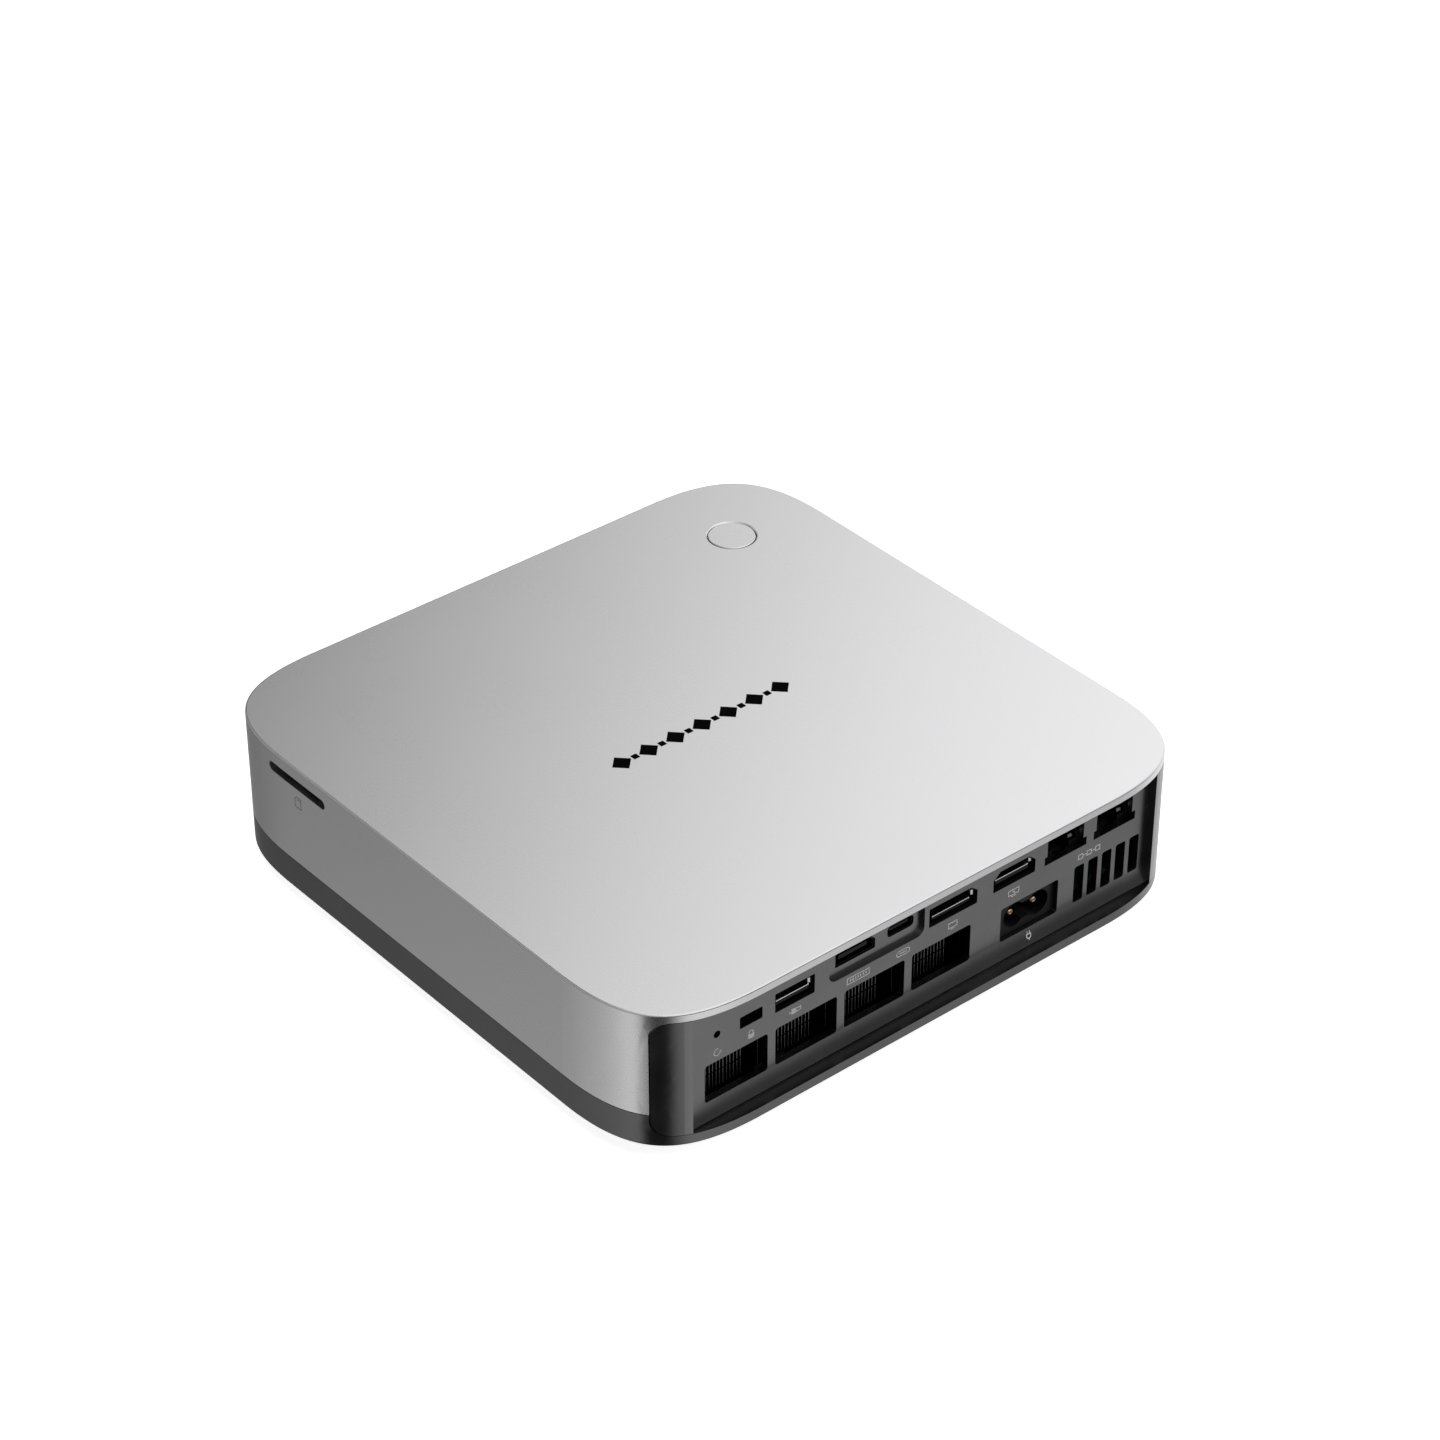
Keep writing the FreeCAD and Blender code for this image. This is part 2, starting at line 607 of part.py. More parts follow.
bracket = box(bx - 13, bx + 13, by - 8, by + 8, bracket_z, bracket_top)
bracket_holes = [rod(x, y, bracket_z - 1, bracket_top + 1, 1.0) for x, y in bracket_screw_at]
save("button_bracket", bracket.cut(bracket_holes))
switch_top = bracket_top + 0.7
plunger_top = stem_foot - BUTTON_TRAVEL - 0.1
switch = box(bx - 3, bx + 3, by - 3, by + 3, bracket_top, switch_top)
save("power_switch", join(switch, rod(bx, by, switch_top - 0.1, plunger_top, 1.6)))

rx, rz = RESET_AT
switch_face = 86.0
reset_body = box(rx - 3, rx + 3, switch_face - 5.5, switch_face, rz - 2, under_board)
save("reset_switch", reset_body.cut(rod_y(rx, rz, switch_face - 3, switch_face + 1, RESET_RADIUS + 0.08)))
save("reset_button", rod_y(rx, rz, switch_face - 2.5, switch_face + 2.6, RESET_RADIUS))

# ---------------------------------------------------------------- main board and what is on it
board = plate("Z", BOARD_LOW, board_top, rectangle(-90, 90, -91, 87.4), 28.0)
board_cuts = [rod(x, y, BOARD_LOW - 1, board_top + 1, 5.2) for x, y in four(POST, POST)]
board_cuts += [rod(x, y, BOARD_LOW - 1, board_top + 1, 1.1) for x, y in board_screw_at]
board_cuts.append(box(-77.5, -41.3, 68.4, 90, BOARD_LOW - 1, board_top + 1))
save("mainboard", board.cut(board_cuts))
board_screws = [
    screw(x, y, under_board - 1.0, head_radius=2.1, head_height=1.0, shank_radius=0.9, length=4.6)
    for x, y in board_screw_at
]
board_screws += [
    screw(x, y, bracket_z - 0.55, head_radius=1.8, head_height=0.5, shank_radius=0.9, length=3.4)
    for x, y in bracket_screw_at
]
save("board_screws", *board_screws)

# The processor and, pressed against its die, the cold plate that carries the heat away.
cpu_x = 30.5
cpu_y = -43.0
die_face = 36.6
package = plate("Z", 37.3, under_board, centred(cpu_x, cpu_y, 37, 26))
die = plate("Z", die_face, 37.4, centred(cpu_x, cpu_y, 19, 10))
save("processor", join(package, die))
plate_low = 29.85
save("cold_plate", plate("Z", plate_low, die_face - TOUCH, rectangle(4, 56, -66, -20), 3.0))

# Flattened heat pipes: from the cold plate, over the blower, to the top of the fins.
PIPE_WIDE = 7.0
PIPE_THICK = 2.75
pipe_top = plate_low - TOUCH
pipe_start = -64.0
pipe_ends = (-12.0, 74.0)


def heat_pipe(x, y_far, x_end, bend=12):
    """Runs back from the cold plate beside x, then sideways along the fins to x_end."""
    y_near = y_far - PIPE_WIDE
    if x_end < x:
        turn = [(x + PIPE_WIDE, y_far), (x_end, y_far), (x_end, y_near), (x, y_near)]
        plan = [(x, pipe_start), (x + PIPE_WIDE, pipe_start)] + turn
        radii = [2, 2, bend, 2, 2, 5]
    else:
        turn = [(x + PIPE_WIDE, y_near), (x_end, y_near), (x_end, y_far), (x, y_far)]
        plan = [(x, pipe_start), (x + PIPE_WIDE, pipe_start)] + turn
        radii = [2, 2, 5, 2, 2, bend]
    return plate("Z", pipe_top - PIPE_THICK, pipe_top, plan, radii)


left_end, right_end = pipe_ends
save(
    "heat_pipes",
    heat_pipe(14.5, 87.5, left_end),
    heat_pipe(26.5, 87.5, right_end),
    heat_pipe(38.5, 79.2, right_end),
)

# Fin stack: thin upright fins that hang from one plate, right behind the rear vents.
fin_x0 = -16.4
fin_x1 = 76.4
fin_front = 73.2
fin_rear = 87.6
fin_low = 12.4
fin_root = 26.6
fin_top = pipe_top - PIPE_THICK - TOUCH
fin_pitch = 1.16
fin_thick = 0.24
comb = [(fin_x0, fin_root), (fin_x0, fin_top), (fin_x1, fin_top), (fin_x1, fin_root)]
fin_count = int((fin_x1 - fin_x0 - fin_thick) / fin_pitch)
for i in reversed(range(fin_count + 1)):
    x = fin_x0 + i * fin_pitch
    comb += [(x + fin_thick, fin_root), (x + fin_thick, fin_low), (x, fin_low)]
    if i > 0:
        comb.append((x, fin_root))
save("fin_stack", plate("Y", fin_front, fin_rear, comb))

# ---------------------------------------------------------------- blower
cx, cy = BLOWER_AT
blower_low = 10.4
blower_lid = 25.5
blower_wall = 1.2
blower_floor = 1.0
mouth_y = fin_front - 0.6
inner = blower_wall
blower_plan = rectangle(-16, 76, -20, mouth_y)
blower_room = rectangle(-16 + inner, 76 - inner, -20 + inner, mouth_y + 2.4)
housing = plate("Z", blower_low, blower_lid, blower_plan, [40, 40, 0, 0])
housing = housing.cut([
    plate("Z", blower_low + blower_floor, 30, blower_room, [40 - inner, 40 - inner, 0, 0]),
    rod(cx, cy, blower_low - 1, blower_low + 2, 29),
])
save("blower_housing", housing)
save("blower_lid", plate("Z", blower_lid, blower_lid + 1, blower_plan, [40, 40, 0, 0]))

motor_low = 16.2
bore_top = 24.0
motor = rod(cx, cy, motor_low, blower_lid, 11)
save("blower_motor", motor.cut(rod(cx, cy, motor_low - 1, bore_top, 1.55)))

hub_low = 13.6
wheel_top = 24.4
disc_low = wheel_top - 0.8
hub = rod(cx, cy, hub_low, wheel_top, 14).cut(rod(cx, cy, hub_low + 1.6, wheel_top + 1, 12.4))
web_disc = rod(cx, cy, disc_low, wheel_top, BLOWER_RADIUS)
web_disc = web_disc.cut(rod(cx, cy, disc_low - 1, wheel_top + 1, 13.2))
spindle = rod(cx, cy, hub_low + 1.4, bore_top - 0.5, 1.5)
blade_start = cx + 25
blade = box(blade_start, cx + BLOWER_RADIUS - 0.3, cy - 0.4, cy + 0.4, hub_low - 0.6, wheel_top - 0.4)
blade.rotate(V(blade_start, cy, 0), V(0, 0, 1), 22)
blade = blade.common(rod(cx, cy, hub_low - 1, wheel_top + 1, BLOWER_RADIUS - 0.2))
save("blower_impeller", join(hub, web_disc, spindle, *around(blade, BLOWER_AT, 27)))

# ---------------------------------------------------------------- base fan
fx, fy = FAN_AT
fan_low = 9.0
fan_high = 19.0
fan_half = 30.0
strut_low = fan_high - 1.4
frame = plate("Z", fan_low, fan_high, centred(fx, fy, 2 * fan_half, 2 * fan_half), 3.0)
frame_cuts = [rod(fx, fy, fan_low - 1, fan_high + 1, FAN_RADIUS + 1)]
frame_cuts += [rod(fx + x, fy + y, fan_low - 1, fan_high + 1, 1.6) for x, y in four(26, 26)]
frame = frame.cut(frame_cuts)
strut = box(fx, fx + FAN_RADIUS + 1.5, fy - 1, fy + 1, strut_low, fan_high)
motor_plate = rod(fx, fy, fan_high - 1.8, fan_high, 10.5)
frame = join(frame, motor_plate, *around(strut, FAN_AT, 3, 20))
save("base_fan_frame", frame.cut(rod(fx, fy, fan_high - 3, fan_high - 0.4, 1.05)))

fan_hub_top = fan_high - 2.2
hub = rod(fx, fy, fan_low + 1, fan_hub_top, 10.5)
spindle = rod(fx, fy, fan_hub_top - 0.3, fan_high - 0.7, 1.0)
vane = box(9.6, FAN_RADIUS, -6.5, 6.5, -0.45, 0.45)
vane.rotate(V(0, 0, 0), V(1, 0, 0), 24)
vane.translate(V(fx, fy, (fan_low + 1 + fan_hub_top) / 2))
vane = vane.common(rod(fx, fy, fan_low, fan_high - 1, FAN_RADIUS))
save("base_fan_impeller", join(hub, spindle, *around(vane, FAN_AT, 7)))

# ---------------------------------------------------------------- memory
MEMORY_LENGTH = 69.6
MEMORY_THICK = 1.2
memory_x = -48.0
memory_z = 34.9
memory_y = [0, -36]
grip = 3.0                    # how far a memory board is pushed into its socket
memory_reach = 27.0


def memory_socket(y):
    """Memory socket with its slot facing -Y and a latch arm at each end."""
    x0 = memory_x - 36.5
    x1 = memory_x + 36.5
    arm = 1.5
    solid = box(x0, x1, y, y + 6, memory_z - 0.9, under_board)
    arms = [box(x, x + arm, y - 24, y + 1, memory_z - 0.3, memory_z + 2.1) for x in (x0, x1 - arm)]
    half_room = MEMORY_LENGTH / 2 + TOUCH
    room = box(
        memory_x - half_room, memory_x + half_room, y - 1, y + grip + 0.1,
        memory_z - TOUCH, memory_z + MEMORY_THICK + TOUCH,
    )
    return join(solid, *arms).cut(room)


def memory_module(y):
    """Memory board with a row of chips on its lower face, pushed into its socket."""
    x0 = memory_x - MEMORY_LENGTH / 2
    x1 = memory_x + MEMORY_LENGTH / 2
    solid = box(x0, x1, y - memory_reach, y + grip, memory_z, memory_z + MEMORY_THICK)
    chips = [
        box(x0 + 4.8 + 16 * i, x0 + 15.8 + 16 * i, y - 20, y - 6, memory_z - 1, memory_z + 0.1)
        for i in range(4)
    ]
    return join(solid, *chips)


save("memory_sockets", *[memory_socket(y) for y in memory_y])
save("memory_modules", *[memory_module(y) for y in memory_y])

# ---------------------------------------------------------------- storage and radio cards
drive_y = [-14, 12]
DRIVE_WIDE = 22.0
drive_end = -3.0
radio_x = 68.0
radio_end = -79.0
card_z = 35.4
CARD_THICK = 0.8
card_top = card_z + CARD_THICK


def edge_socket(x0, x1, y0, y1, room_x0, room_x1, room_y0, room_y1):
    """Low socket for the edge of a small board, with the room that the board slides into."""
    room = box(room_x0, room_x1, room_y0, room_y1, card_z - TOUCH, card_top + TOUCH)
    return box(x0, x1, y0, y1, card_z - 1.2, under_board).cut(room)


def drive(y):
    """Storage board with two memory chips below and a notch for its screw."""
    board = box(drive_end, 77, y + 0.1, y + DRIVE_WIDE - 0.1, card_z, card_top)
    board = board.cut(rod(drive_end, y + DRIVE_WIDE / 2, card_z - 1, card_top + 1, 2.8))
    chips = [box(x, x + 18, y + 3, y + 19, card_z - 1, card_z + 0.1) for x in (8, 32)]
    return join(board, *chips)


card_sockets = [
    edge_socket(73, 81, y, y + DRIVE_WIDE, 72, 77.1, y - 1, y + DRIVE_WIDE + 1) for y in drive_y
]
card_sockets.append(
    edge_socket(radio_x - 11, radio_x + 11, -53, -45, radio_x - 12, radio_x + 12, -54, -48.9)
)
save("card_sockets", *card_sockets)
save("drives", *[drive(y) for y in drive_y])
radio = box(radio_x - 10.9, radio_x + 10.9, radio_end, -49, card_z, card_top)
radio = radio.cut(rod(radio_x, radio_end, card_z - 1, card_top + 1, 2.8))
save("radio_card", join(radio, box(radio_x - 8, radio_x + 8, -74, -57, card_z - 1.4, card_z + 0.1)))
card_screw_at = [(drive_end, y + DRIVE_WIDE / 2) for y in drive_y] + [(radio_x, radio_end)]
save("card_screws", *[
    screw(x, y, card_z - 0.5, head_radius=2.6, head_height=0.9, shank_radius=1.2, length=2.5)
    for x, y in card_screw_at
])

antenna_y = -half + WALL + lip_thick + 0.8
save("radio_antennas", *[
    box(x - 18, x + 18, antenna_y, antenna_y + 0.8, floor_z + 0.2, floor_z + 5.4) for x in (-42, 42)
])
save("clock_battery", rod(-36, 44, under_board - 3.95, under_board, 10))

# ---------------------------------------------------------------- power supply
supply_z = 11.0
supply_top = supply_z + 1.6
on_supply = supply_top + TOUCH
psu_plan = [(-88, 10), (-20, 10), (-20, 68), (-52, 68), (-52, 86), (-76, 86), (-76, 68), (-88, 68)]
save("supply_board", plate("Z", supply_z, supply_top, psu_plan))
core = plate("Z", on_supply, 26, centred(-38, 34, 24, 24))
winding = plate("Z", 15, 23, centred(-38, 34, 18, 36))
save("supply_transformer", join(core, winding))
save("supply_capacitors", *[rod(-76, y, on_supply, 28, 8) for y in (26, 46)])


def heatsink(x):
    """Upright plate with a folded top."""
    return join(box(x, x + 2, 14, 64, on_supply, 29), box(x, x + 6, 14, 64, 27, 29))


save("supply_heatsinks", *[heatsink(x) for x in (-64, -57)])
shield_thick = 0.6
shield_top = box(-88.8, -19, 9, 68.4, 30.0, 30.0 + shield_thick)
shield_side = box(-19 - shield_thick, -19, 9, 68.4, supply_z - shield_thick, 30.0 + shield_thick)
save("supply_shield", join(shield_top, shield_side))
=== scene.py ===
import json
import math

import bmesh
import bpy
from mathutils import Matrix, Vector
from mathutils.bvhtree import BVHTree


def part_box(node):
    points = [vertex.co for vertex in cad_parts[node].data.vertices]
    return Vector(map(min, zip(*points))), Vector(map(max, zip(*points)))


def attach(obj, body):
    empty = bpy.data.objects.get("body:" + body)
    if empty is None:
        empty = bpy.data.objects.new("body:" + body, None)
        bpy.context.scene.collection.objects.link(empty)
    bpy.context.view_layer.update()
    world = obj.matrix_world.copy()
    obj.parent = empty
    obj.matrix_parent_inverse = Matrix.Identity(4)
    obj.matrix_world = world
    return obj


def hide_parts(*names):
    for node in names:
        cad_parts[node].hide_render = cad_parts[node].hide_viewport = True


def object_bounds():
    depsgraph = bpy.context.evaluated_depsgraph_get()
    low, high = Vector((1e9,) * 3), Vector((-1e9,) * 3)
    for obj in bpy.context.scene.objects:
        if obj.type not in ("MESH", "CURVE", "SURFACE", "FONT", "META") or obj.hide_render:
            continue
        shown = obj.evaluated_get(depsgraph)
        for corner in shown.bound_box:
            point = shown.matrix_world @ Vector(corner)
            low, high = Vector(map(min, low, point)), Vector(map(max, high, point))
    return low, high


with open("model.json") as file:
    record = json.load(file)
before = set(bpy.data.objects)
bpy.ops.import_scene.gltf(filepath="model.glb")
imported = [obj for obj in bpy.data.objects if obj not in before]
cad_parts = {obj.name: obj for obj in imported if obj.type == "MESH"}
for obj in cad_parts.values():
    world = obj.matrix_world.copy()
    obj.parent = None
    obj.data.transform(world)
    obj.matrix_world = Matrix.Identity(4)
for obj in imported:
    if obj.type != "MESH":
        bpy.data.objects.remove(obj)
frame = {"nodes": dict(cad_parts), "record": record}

# A mini desktop computer: bead-blasted aluminium shell over a dark base, seen from behind.
# Metres. +Z is up, the rear ports face +Y and +X is the card slot's side.

MM = 0.001
CAD_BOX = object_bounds()
NODES = frame["nodes"]
BACK = Vector((0, 1, 0))
FRONT = Vector((0, -1, 0))
UP = Vector((0, 0, 1))
RIGHT = Vector((1, 0, 0))


# ---------------------------------------------------------------- shared node calls
MIX_A = 6                     # a colour mix node's sockets, which share their names with others
MIX_B = 7
MIX_RESULT = 2


class Nodes:
    """A node tree being made, with the calls that the materials and the surroundings share."""

    def add(self, kind, **settings):
        node = self.tree.nodes.new(kind)
        for name, value in settings.items():
            setattr(node, name, value)
        return node

    def feed(self, socket, value):
        """Puts a number, a colour or another node's output into a socket."""
        if isinstance(value, bpy.types.NodeSocket):
            self.tree.links.new(value, socket)
        else:
            socket.default_value = value

    def remap(self, value, start, end, low, high):
        """low up to start, high from end, and a straight change between them."""
        node = self.add("ShaderNodeMapRange")
        self.feed(node.inputs["Value"], value)
        node.inputs["From Min"].default_value = start
        node.inputs["From Max"].default_value = end
        self.feed(node.inputs["To Min"], low)
        self.feed(node.inputs["To Max"], high)
        return node.outputs["Result"]


class Graph(Nodes):
    """One material being made, with short calls for the nodes that the finishes share."""

    def __init__(self, name, colour, roughness, metallic=0.0):
        self.material = bpy.data.materials.new(name)
        self.material.use_nodes = True
        self.tree = self.material.node_tree
        self.shader = self.tree.nodes["Principled BSDF"]
        self.shader.inputs["Base Color"].default_value = (*colour, 1)
        self.shader.inputs["Roughness"].default_value = roughness
        self.shader.inputs["Metallic"].default_value = metallic
        self.place = self.tree.nodes.new("ShaderNodeTexCoord").outputs["Object"]
        self.bumped_normal = None

    def stretched(self, stretch):
        """The object's coordinates, with features drawn out along an axis by its factor."""
        node = self.add("ShaderNodeMapping")
        self.feed(node.inputs["Vector"], self.place)
        node.inputs["Scale"].default_value = [1 / factor for factor in stretch]
        return node.outputs["Vector"]

    def clouds(self, size, detail=2.0, stretch=None):
        """Soft noise from 0 to 1 with features about size metres across."""
        node = self.add("ShaderNodeTexNoise")
        self.feed(node.inputs["Vector"], self.stretched(stretch) if stretch else self.place)
        node.inputs["Scale"].default_value = 1 / size
        node.inputs["Detail"].default_value = detail
        return node.outputs[0]

    def cells(self, size, feature="F1"):
        """Distance from the nearest of many scattered points about size metres apart."""
        node = self.add("ShaderNodeTexVoronoi", feature=feature)
        self.feed(node.inputs["Vector"], self.place)
        node.inputs["Scale"].default_value = 1 / size
        return node.outputs["Distance"]

    def combine(self, a, b, operation="ADD"):
        """The sum of two values, or another operation on them."""
        node = self.add("ShaderNodeMath", operation=operation)
        self.feed(node.inputs[0], a)
        self.feed(node.inputs[1], b)
        return node.outputs["Value"]

    def along(self, axis):
        """One of the object's own coordinates, in metres."""
        node = self.add("ShaderNodeSeparateXYZ")
        self.feed(node.inputs["Vector"], self.place)
        return node.outputs[axis]

    def facing_up(self):
        """1 on level upper faces, 0 on upright ones."""
        normal = self.add("ShaderNodeTexCoord").outputs["Normal"]
        node = self.add("ShaderNodeSeparateXYZ")
        self.feed(node.inputs["Vector"], normal)
        return node.outputs["Z"]

    def mixed(self, factor, a, b):
        """Colour a where factor is 0, colour b where it is 1."""
        node = self.add("ShaderNodeMix", data_type="RGBA")
        self.feed(node.inputs["Factor"], factor)
        for place, colour in ((MIX_A, a), (MIX_B, b)):
            linked = isinstance(colour, bpy.types.NodeSocket)
            self.feed(node.inputs[place], colour if linked else (*colour, 1))
        return node.outputs[MIX_RESULT]

    def colour(self, value):
        self.feed(self.shader.inputs["Base Color"], value)

    def roughness(self, value):
        self.feed(self.shader.inputs["Roughness"], value)

    def relief(self, height, depth, strength=1.0):
        """Bumps the surface; later calls add finer relief to earlier ones."""
        node = self.add("ShaderNodeBump")
        node.inputs["Distance"].default_value = depth
        node.inputs["Strength"].default_value = strength
        self.feed(node.inputs["Height"], height)
        if self.bumped_normal:
            self.feed(node.inputs["Normal"], self.bumped_normal)
        self.bumped_normal = node.outputs["Normal"]
        self.feed(self.shader.inputs["Normal"], self.bumped_normal)


def shade(colour, factor):
    """A colour made lighter or darker by a factor."""
    return tuple(min(1.0, channel * factor) for channel in colour)


# ---------------------------------------------------------------- finishes
PAINTED_LEDGE_SHADE = 0.4             # painted shade: how dark the colour of a level ledge of the dark moulding is made, next to its sides


def blasted_aluminium(name, colour, roughness):
    """Bead-blasted, clear anodised aluminium: a fine even grain and faint handling smudges."""
    g = Graph(name, colour, roughness, metallic=1.0)
    grain = g.clouds(0.25 * MM, detail=1.0)
    smudge = g.clouds(60 * MM, detail=3.0)
    tone = g.combine(g.remap(grain, 0.3, 0.7, -0.25, 0.25), g.remap(smudge, 0.35, 0.65, 0.2, 0.8))
    g.colour(g.mixed(tone, shade(colour, 0.985), shade(colour, 1.015)))
    wiped = g.remap(smudge, 0.3, 0.7, roughness - 0.012, roughness + 0.012)
    g.roughness(g.combine(wiped, g.remap(grain, 0.3, 0.7, -0.02, 0.02)))
    g.relief(grain, 0.004 * MM, 0.6)
    return g.material


def satin_dark(name, colour, roughness, grain_size=0.35 * MM, depth=0.004 * MM, metallic=0.0):
    """Satin dark moulding with a fine eroded texture, rubbed patches and painted shade: level
    ledges get a darker colour.
    """
    g = Graph(name, colour, roughness, metallic)
    grain = g.clouds(grain_size, detail=2.0)
    patch = g.clouds(16 * MM, detail=4.0)
    tone = g.combine(g.remap(grain, 0.3, 0.7, -0.2, 0.2), g.remap(patch, 0.35, 0.65, 0.2, 0.8))
    rubbed = g.mixed(tone, shade(colour, 0.93), shade(colour, 1.07))
    # painted shade: level upper faces are given a darker colour than upright ones
    level = g.remap(g.facing_up(), 0.8, 0.97, 0.0, 1.0)
    g.colour(g.mixed(level, rubbed, shade(colour, PAINTED_LEDGE_SHADE)))
    g.roughness(g.remap(patch, 0.3, 0.7, roughness - 0.04, roughness + 0.04))
    g.relief(grain, depth, 0.7)
    return g.material


def foot_rubber():
    """Dull black rubber, greyed with dust where it meets the desk."""
    black = (0.018, 0.018, 0.019)
    g = Graph("foot_rubber", black, 0.85)
    dust = g.combine(
        g.remap(g.along("Z"), 0.0, 1.2 * MM, 0.75, 0.0),
        g.remap(g.clouds(2 * MM, detail=5.0), 0.3, 0.7, 0.2, 1.0),
        "MULTIPLY",
    )
    g.colour(g.mixed(dust, black, (0.09, 0.088, 0.084)))
    g.roughness(g.remap(dust, 0.0, 1.0, 0.78, 0.95))
    g.relief(g.clouds(0.4 * MM, detail=3.0), 0.02 * MM)
    return g.material


def plated(name, colour, roughness, streak=(1, 8, 1)):
    """Plated or rolled sheet: thin streaks along the rolling direction and dull spots."""
    g = Graph(name, colour, roughness, metallic=1.0)
    rolled = g.clouds(0.3 * MM, detail=2.0, stretch=streak)
    dull = g.clouds(3 * MM, detail=4.0)
    g.colour(g.mixed(g.remap(dull, 0.3, 0.7, 0.0, 1.0), shade(colour, 0.85), shade(colour, 1.05)))
    worn = g.remap(dull, 0.3, 0.7, roughness - 0.06, roughness + 0.08)
    g.roughness(g.combine(worn, g.remap(rolled, 0.3, 0.7, -0.04, 0.04)))
    g.relief(rolled, 0.003 * MM, 0.5)
    return g.material


def moulded(name, colour, roughness, gloss=0.5):
    """Small moulded part: faint flow marks and a little dust in the gloss."""
    g = Graph(name, colour, roughness)
    g.shader.inputs["Specular IOR Level"].default_value = gloss
    flow = g.clouds(4 * MM, detail=3.0, stretch=(1, 3, 1))
    dust = g.clouds(0.3 * MM, detail=2.0)
    g.colour(g.mixed(g.remap(flow, 0.3, 0.7, 0.0, 1.0), shade(colour, 0.8), shade(colour, 1.25)))
    g.roughness(g.remap(dust, 0.35, 0.75, roughness - 0.05, roughness + 0.12))
    g.relief(dust, 0.004 * MM, 0.5)
    return g.material


def board_laminate():
    """Solder mask over copper tracks: the tracks show as slightly paler, raised lines."""
    mask = (0.012, 0.035, 0.03)
    g = Graph("board_laminate", mask, 0.35)
    g.shader.inputs["Coat Weight"].default_value = 0.4
    track = g.remap(g.cells(2.2 * MM, "DISTANCE_TO_EDGE"), 0.02, 0.09, 1.0, 0.0)
    weave = g.clouds(0.5 * MM, detail=1.0)
    g.colour(g.mixed(track, mask, shade(mask, 2.2)))
    g.roughness(g.remap(weave, 0.3, 0.7, 0.3, 0.42))
    g.relief(track, 0.03 * MM)
    return g.material


def fins_with_painted_shade():
    """Black-coated sheet whose cut rear edges are bare metal: the near-black coat is painted shade
    behind the vents, and the pale edges are also a painted highlight.
    """
    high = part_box("fin_stack")[1]
    # painted shade: the coat is near-black, so the fins read as the shade behind the vents
    painted_shade_coat = (0.006, 0.006, 0.006)
    g = Graph("fin_aluminium", painted_shade_coat, 0.4, metallic=0.9)
    # painted highlight: a pale band along the cut rear edges, shown as bare metal
    edge = g.remap(g.along("Y"), high.y - 0.12 * MM, high.y - 0.06 * MM, 0.0, 1.0)
    streak = g.clouds(0.5 * MM, detail=2.0, stretch=(1, 1, 10))
    bare = g.combine(edge, g.remap(streak, 0.3, 0.7, 0.5, 1.0), "MULTIPLY")
    g.colour(g.mixed(bare, painted_shade_coat, (0.42, 0.42, 0.43)))
    g.roughness(g.remap(streak, 0.3, 0.7, 0.32, 0.48))
    g.relief(streak, 0.004 * MM)
    return g.material


def tarnished_copper():
    """Drawn copper with darker patches where heat has tarnished it."""
    copper = (0.72, 0.36, 0.22)
    g = Graph("copper", copper, 0.32, metallic=1.0)
    bloom = g.clouds(7 * MM, detail=5.0)
    g.colour(g.mixed(g.remap(bloom, 0.35, 0.65, 0.0, 1.0), copper, (0.42, 0.17, 0.1)))
    g.roughness(g.remap(bloom, 0.3, 0.7, 0.26, 0.44))
    g.relief(g.clouds(0.4 * MM, detail=2.0, stretch=(1, 6, 1)), 0.004 * MM)
    return g.material


def wrapped_tape():
    """Yellow winding tape in overlapping turns."""
    yellow = (0.62, 0.42, 0.05)
    g = Graph("transformer_tape", yellow, 0.3)
    turn = g.combine(g.combine(g.along("Z"), 1 / (3 * MM), "MULTIPLY"), 1.0, "FRACT")
    g.colour(g.mixed(g.remap(turn, 0.0, 0.15, 0.6, 0.0), yellow, shade(yellow, 0.6)))
    g.roughness(g.remap(g.clouds(2 * MM), 0.3, 0.7, 0.25, 0.4))
    g.relief(turn, 0.05 * MM)
    return g.material


def glowing_guide():
    """Frosted light guide, softly lit from behind."""
    g = Graph("light_guide", (0.85, 0.92, 1.0), 0.45)
    frost = g.clouds(0.3 * MM, detail=2.0)
    g.shader.inputs["Emission Color"].default_value = (0.75, 0.88, 1.0, 1)
    g.shader.inputs["Emission Strength"].default_value = 0.5
    g.roughness(g.remap(frost, 0.3, 0.7, 0.38, 0.52))
    g.relief(frost, 0.01 * MM)
    return g.material


def printed_ink(name, colour, gloss=0.5):
    """Screen-printed ink, slightly uneven in cover."""
    g = Graph(name, colour, 0.55)
    g.shader.inputs["Specular IOR Level"].default_value = gloss
    cover = g.clouds(0.5 * MM, detail=3.0)
    g.colour(g.mixed(g.remap(cover, 0.35, 0.75, 0.0, 1.0), colour, shade(colour, 0.8)))
    g.roughness(g.remap(cover, 0.3, 0.7, 0.48, 0.62))
    g.relief(cover, 0.002 * MM)
    return g.material


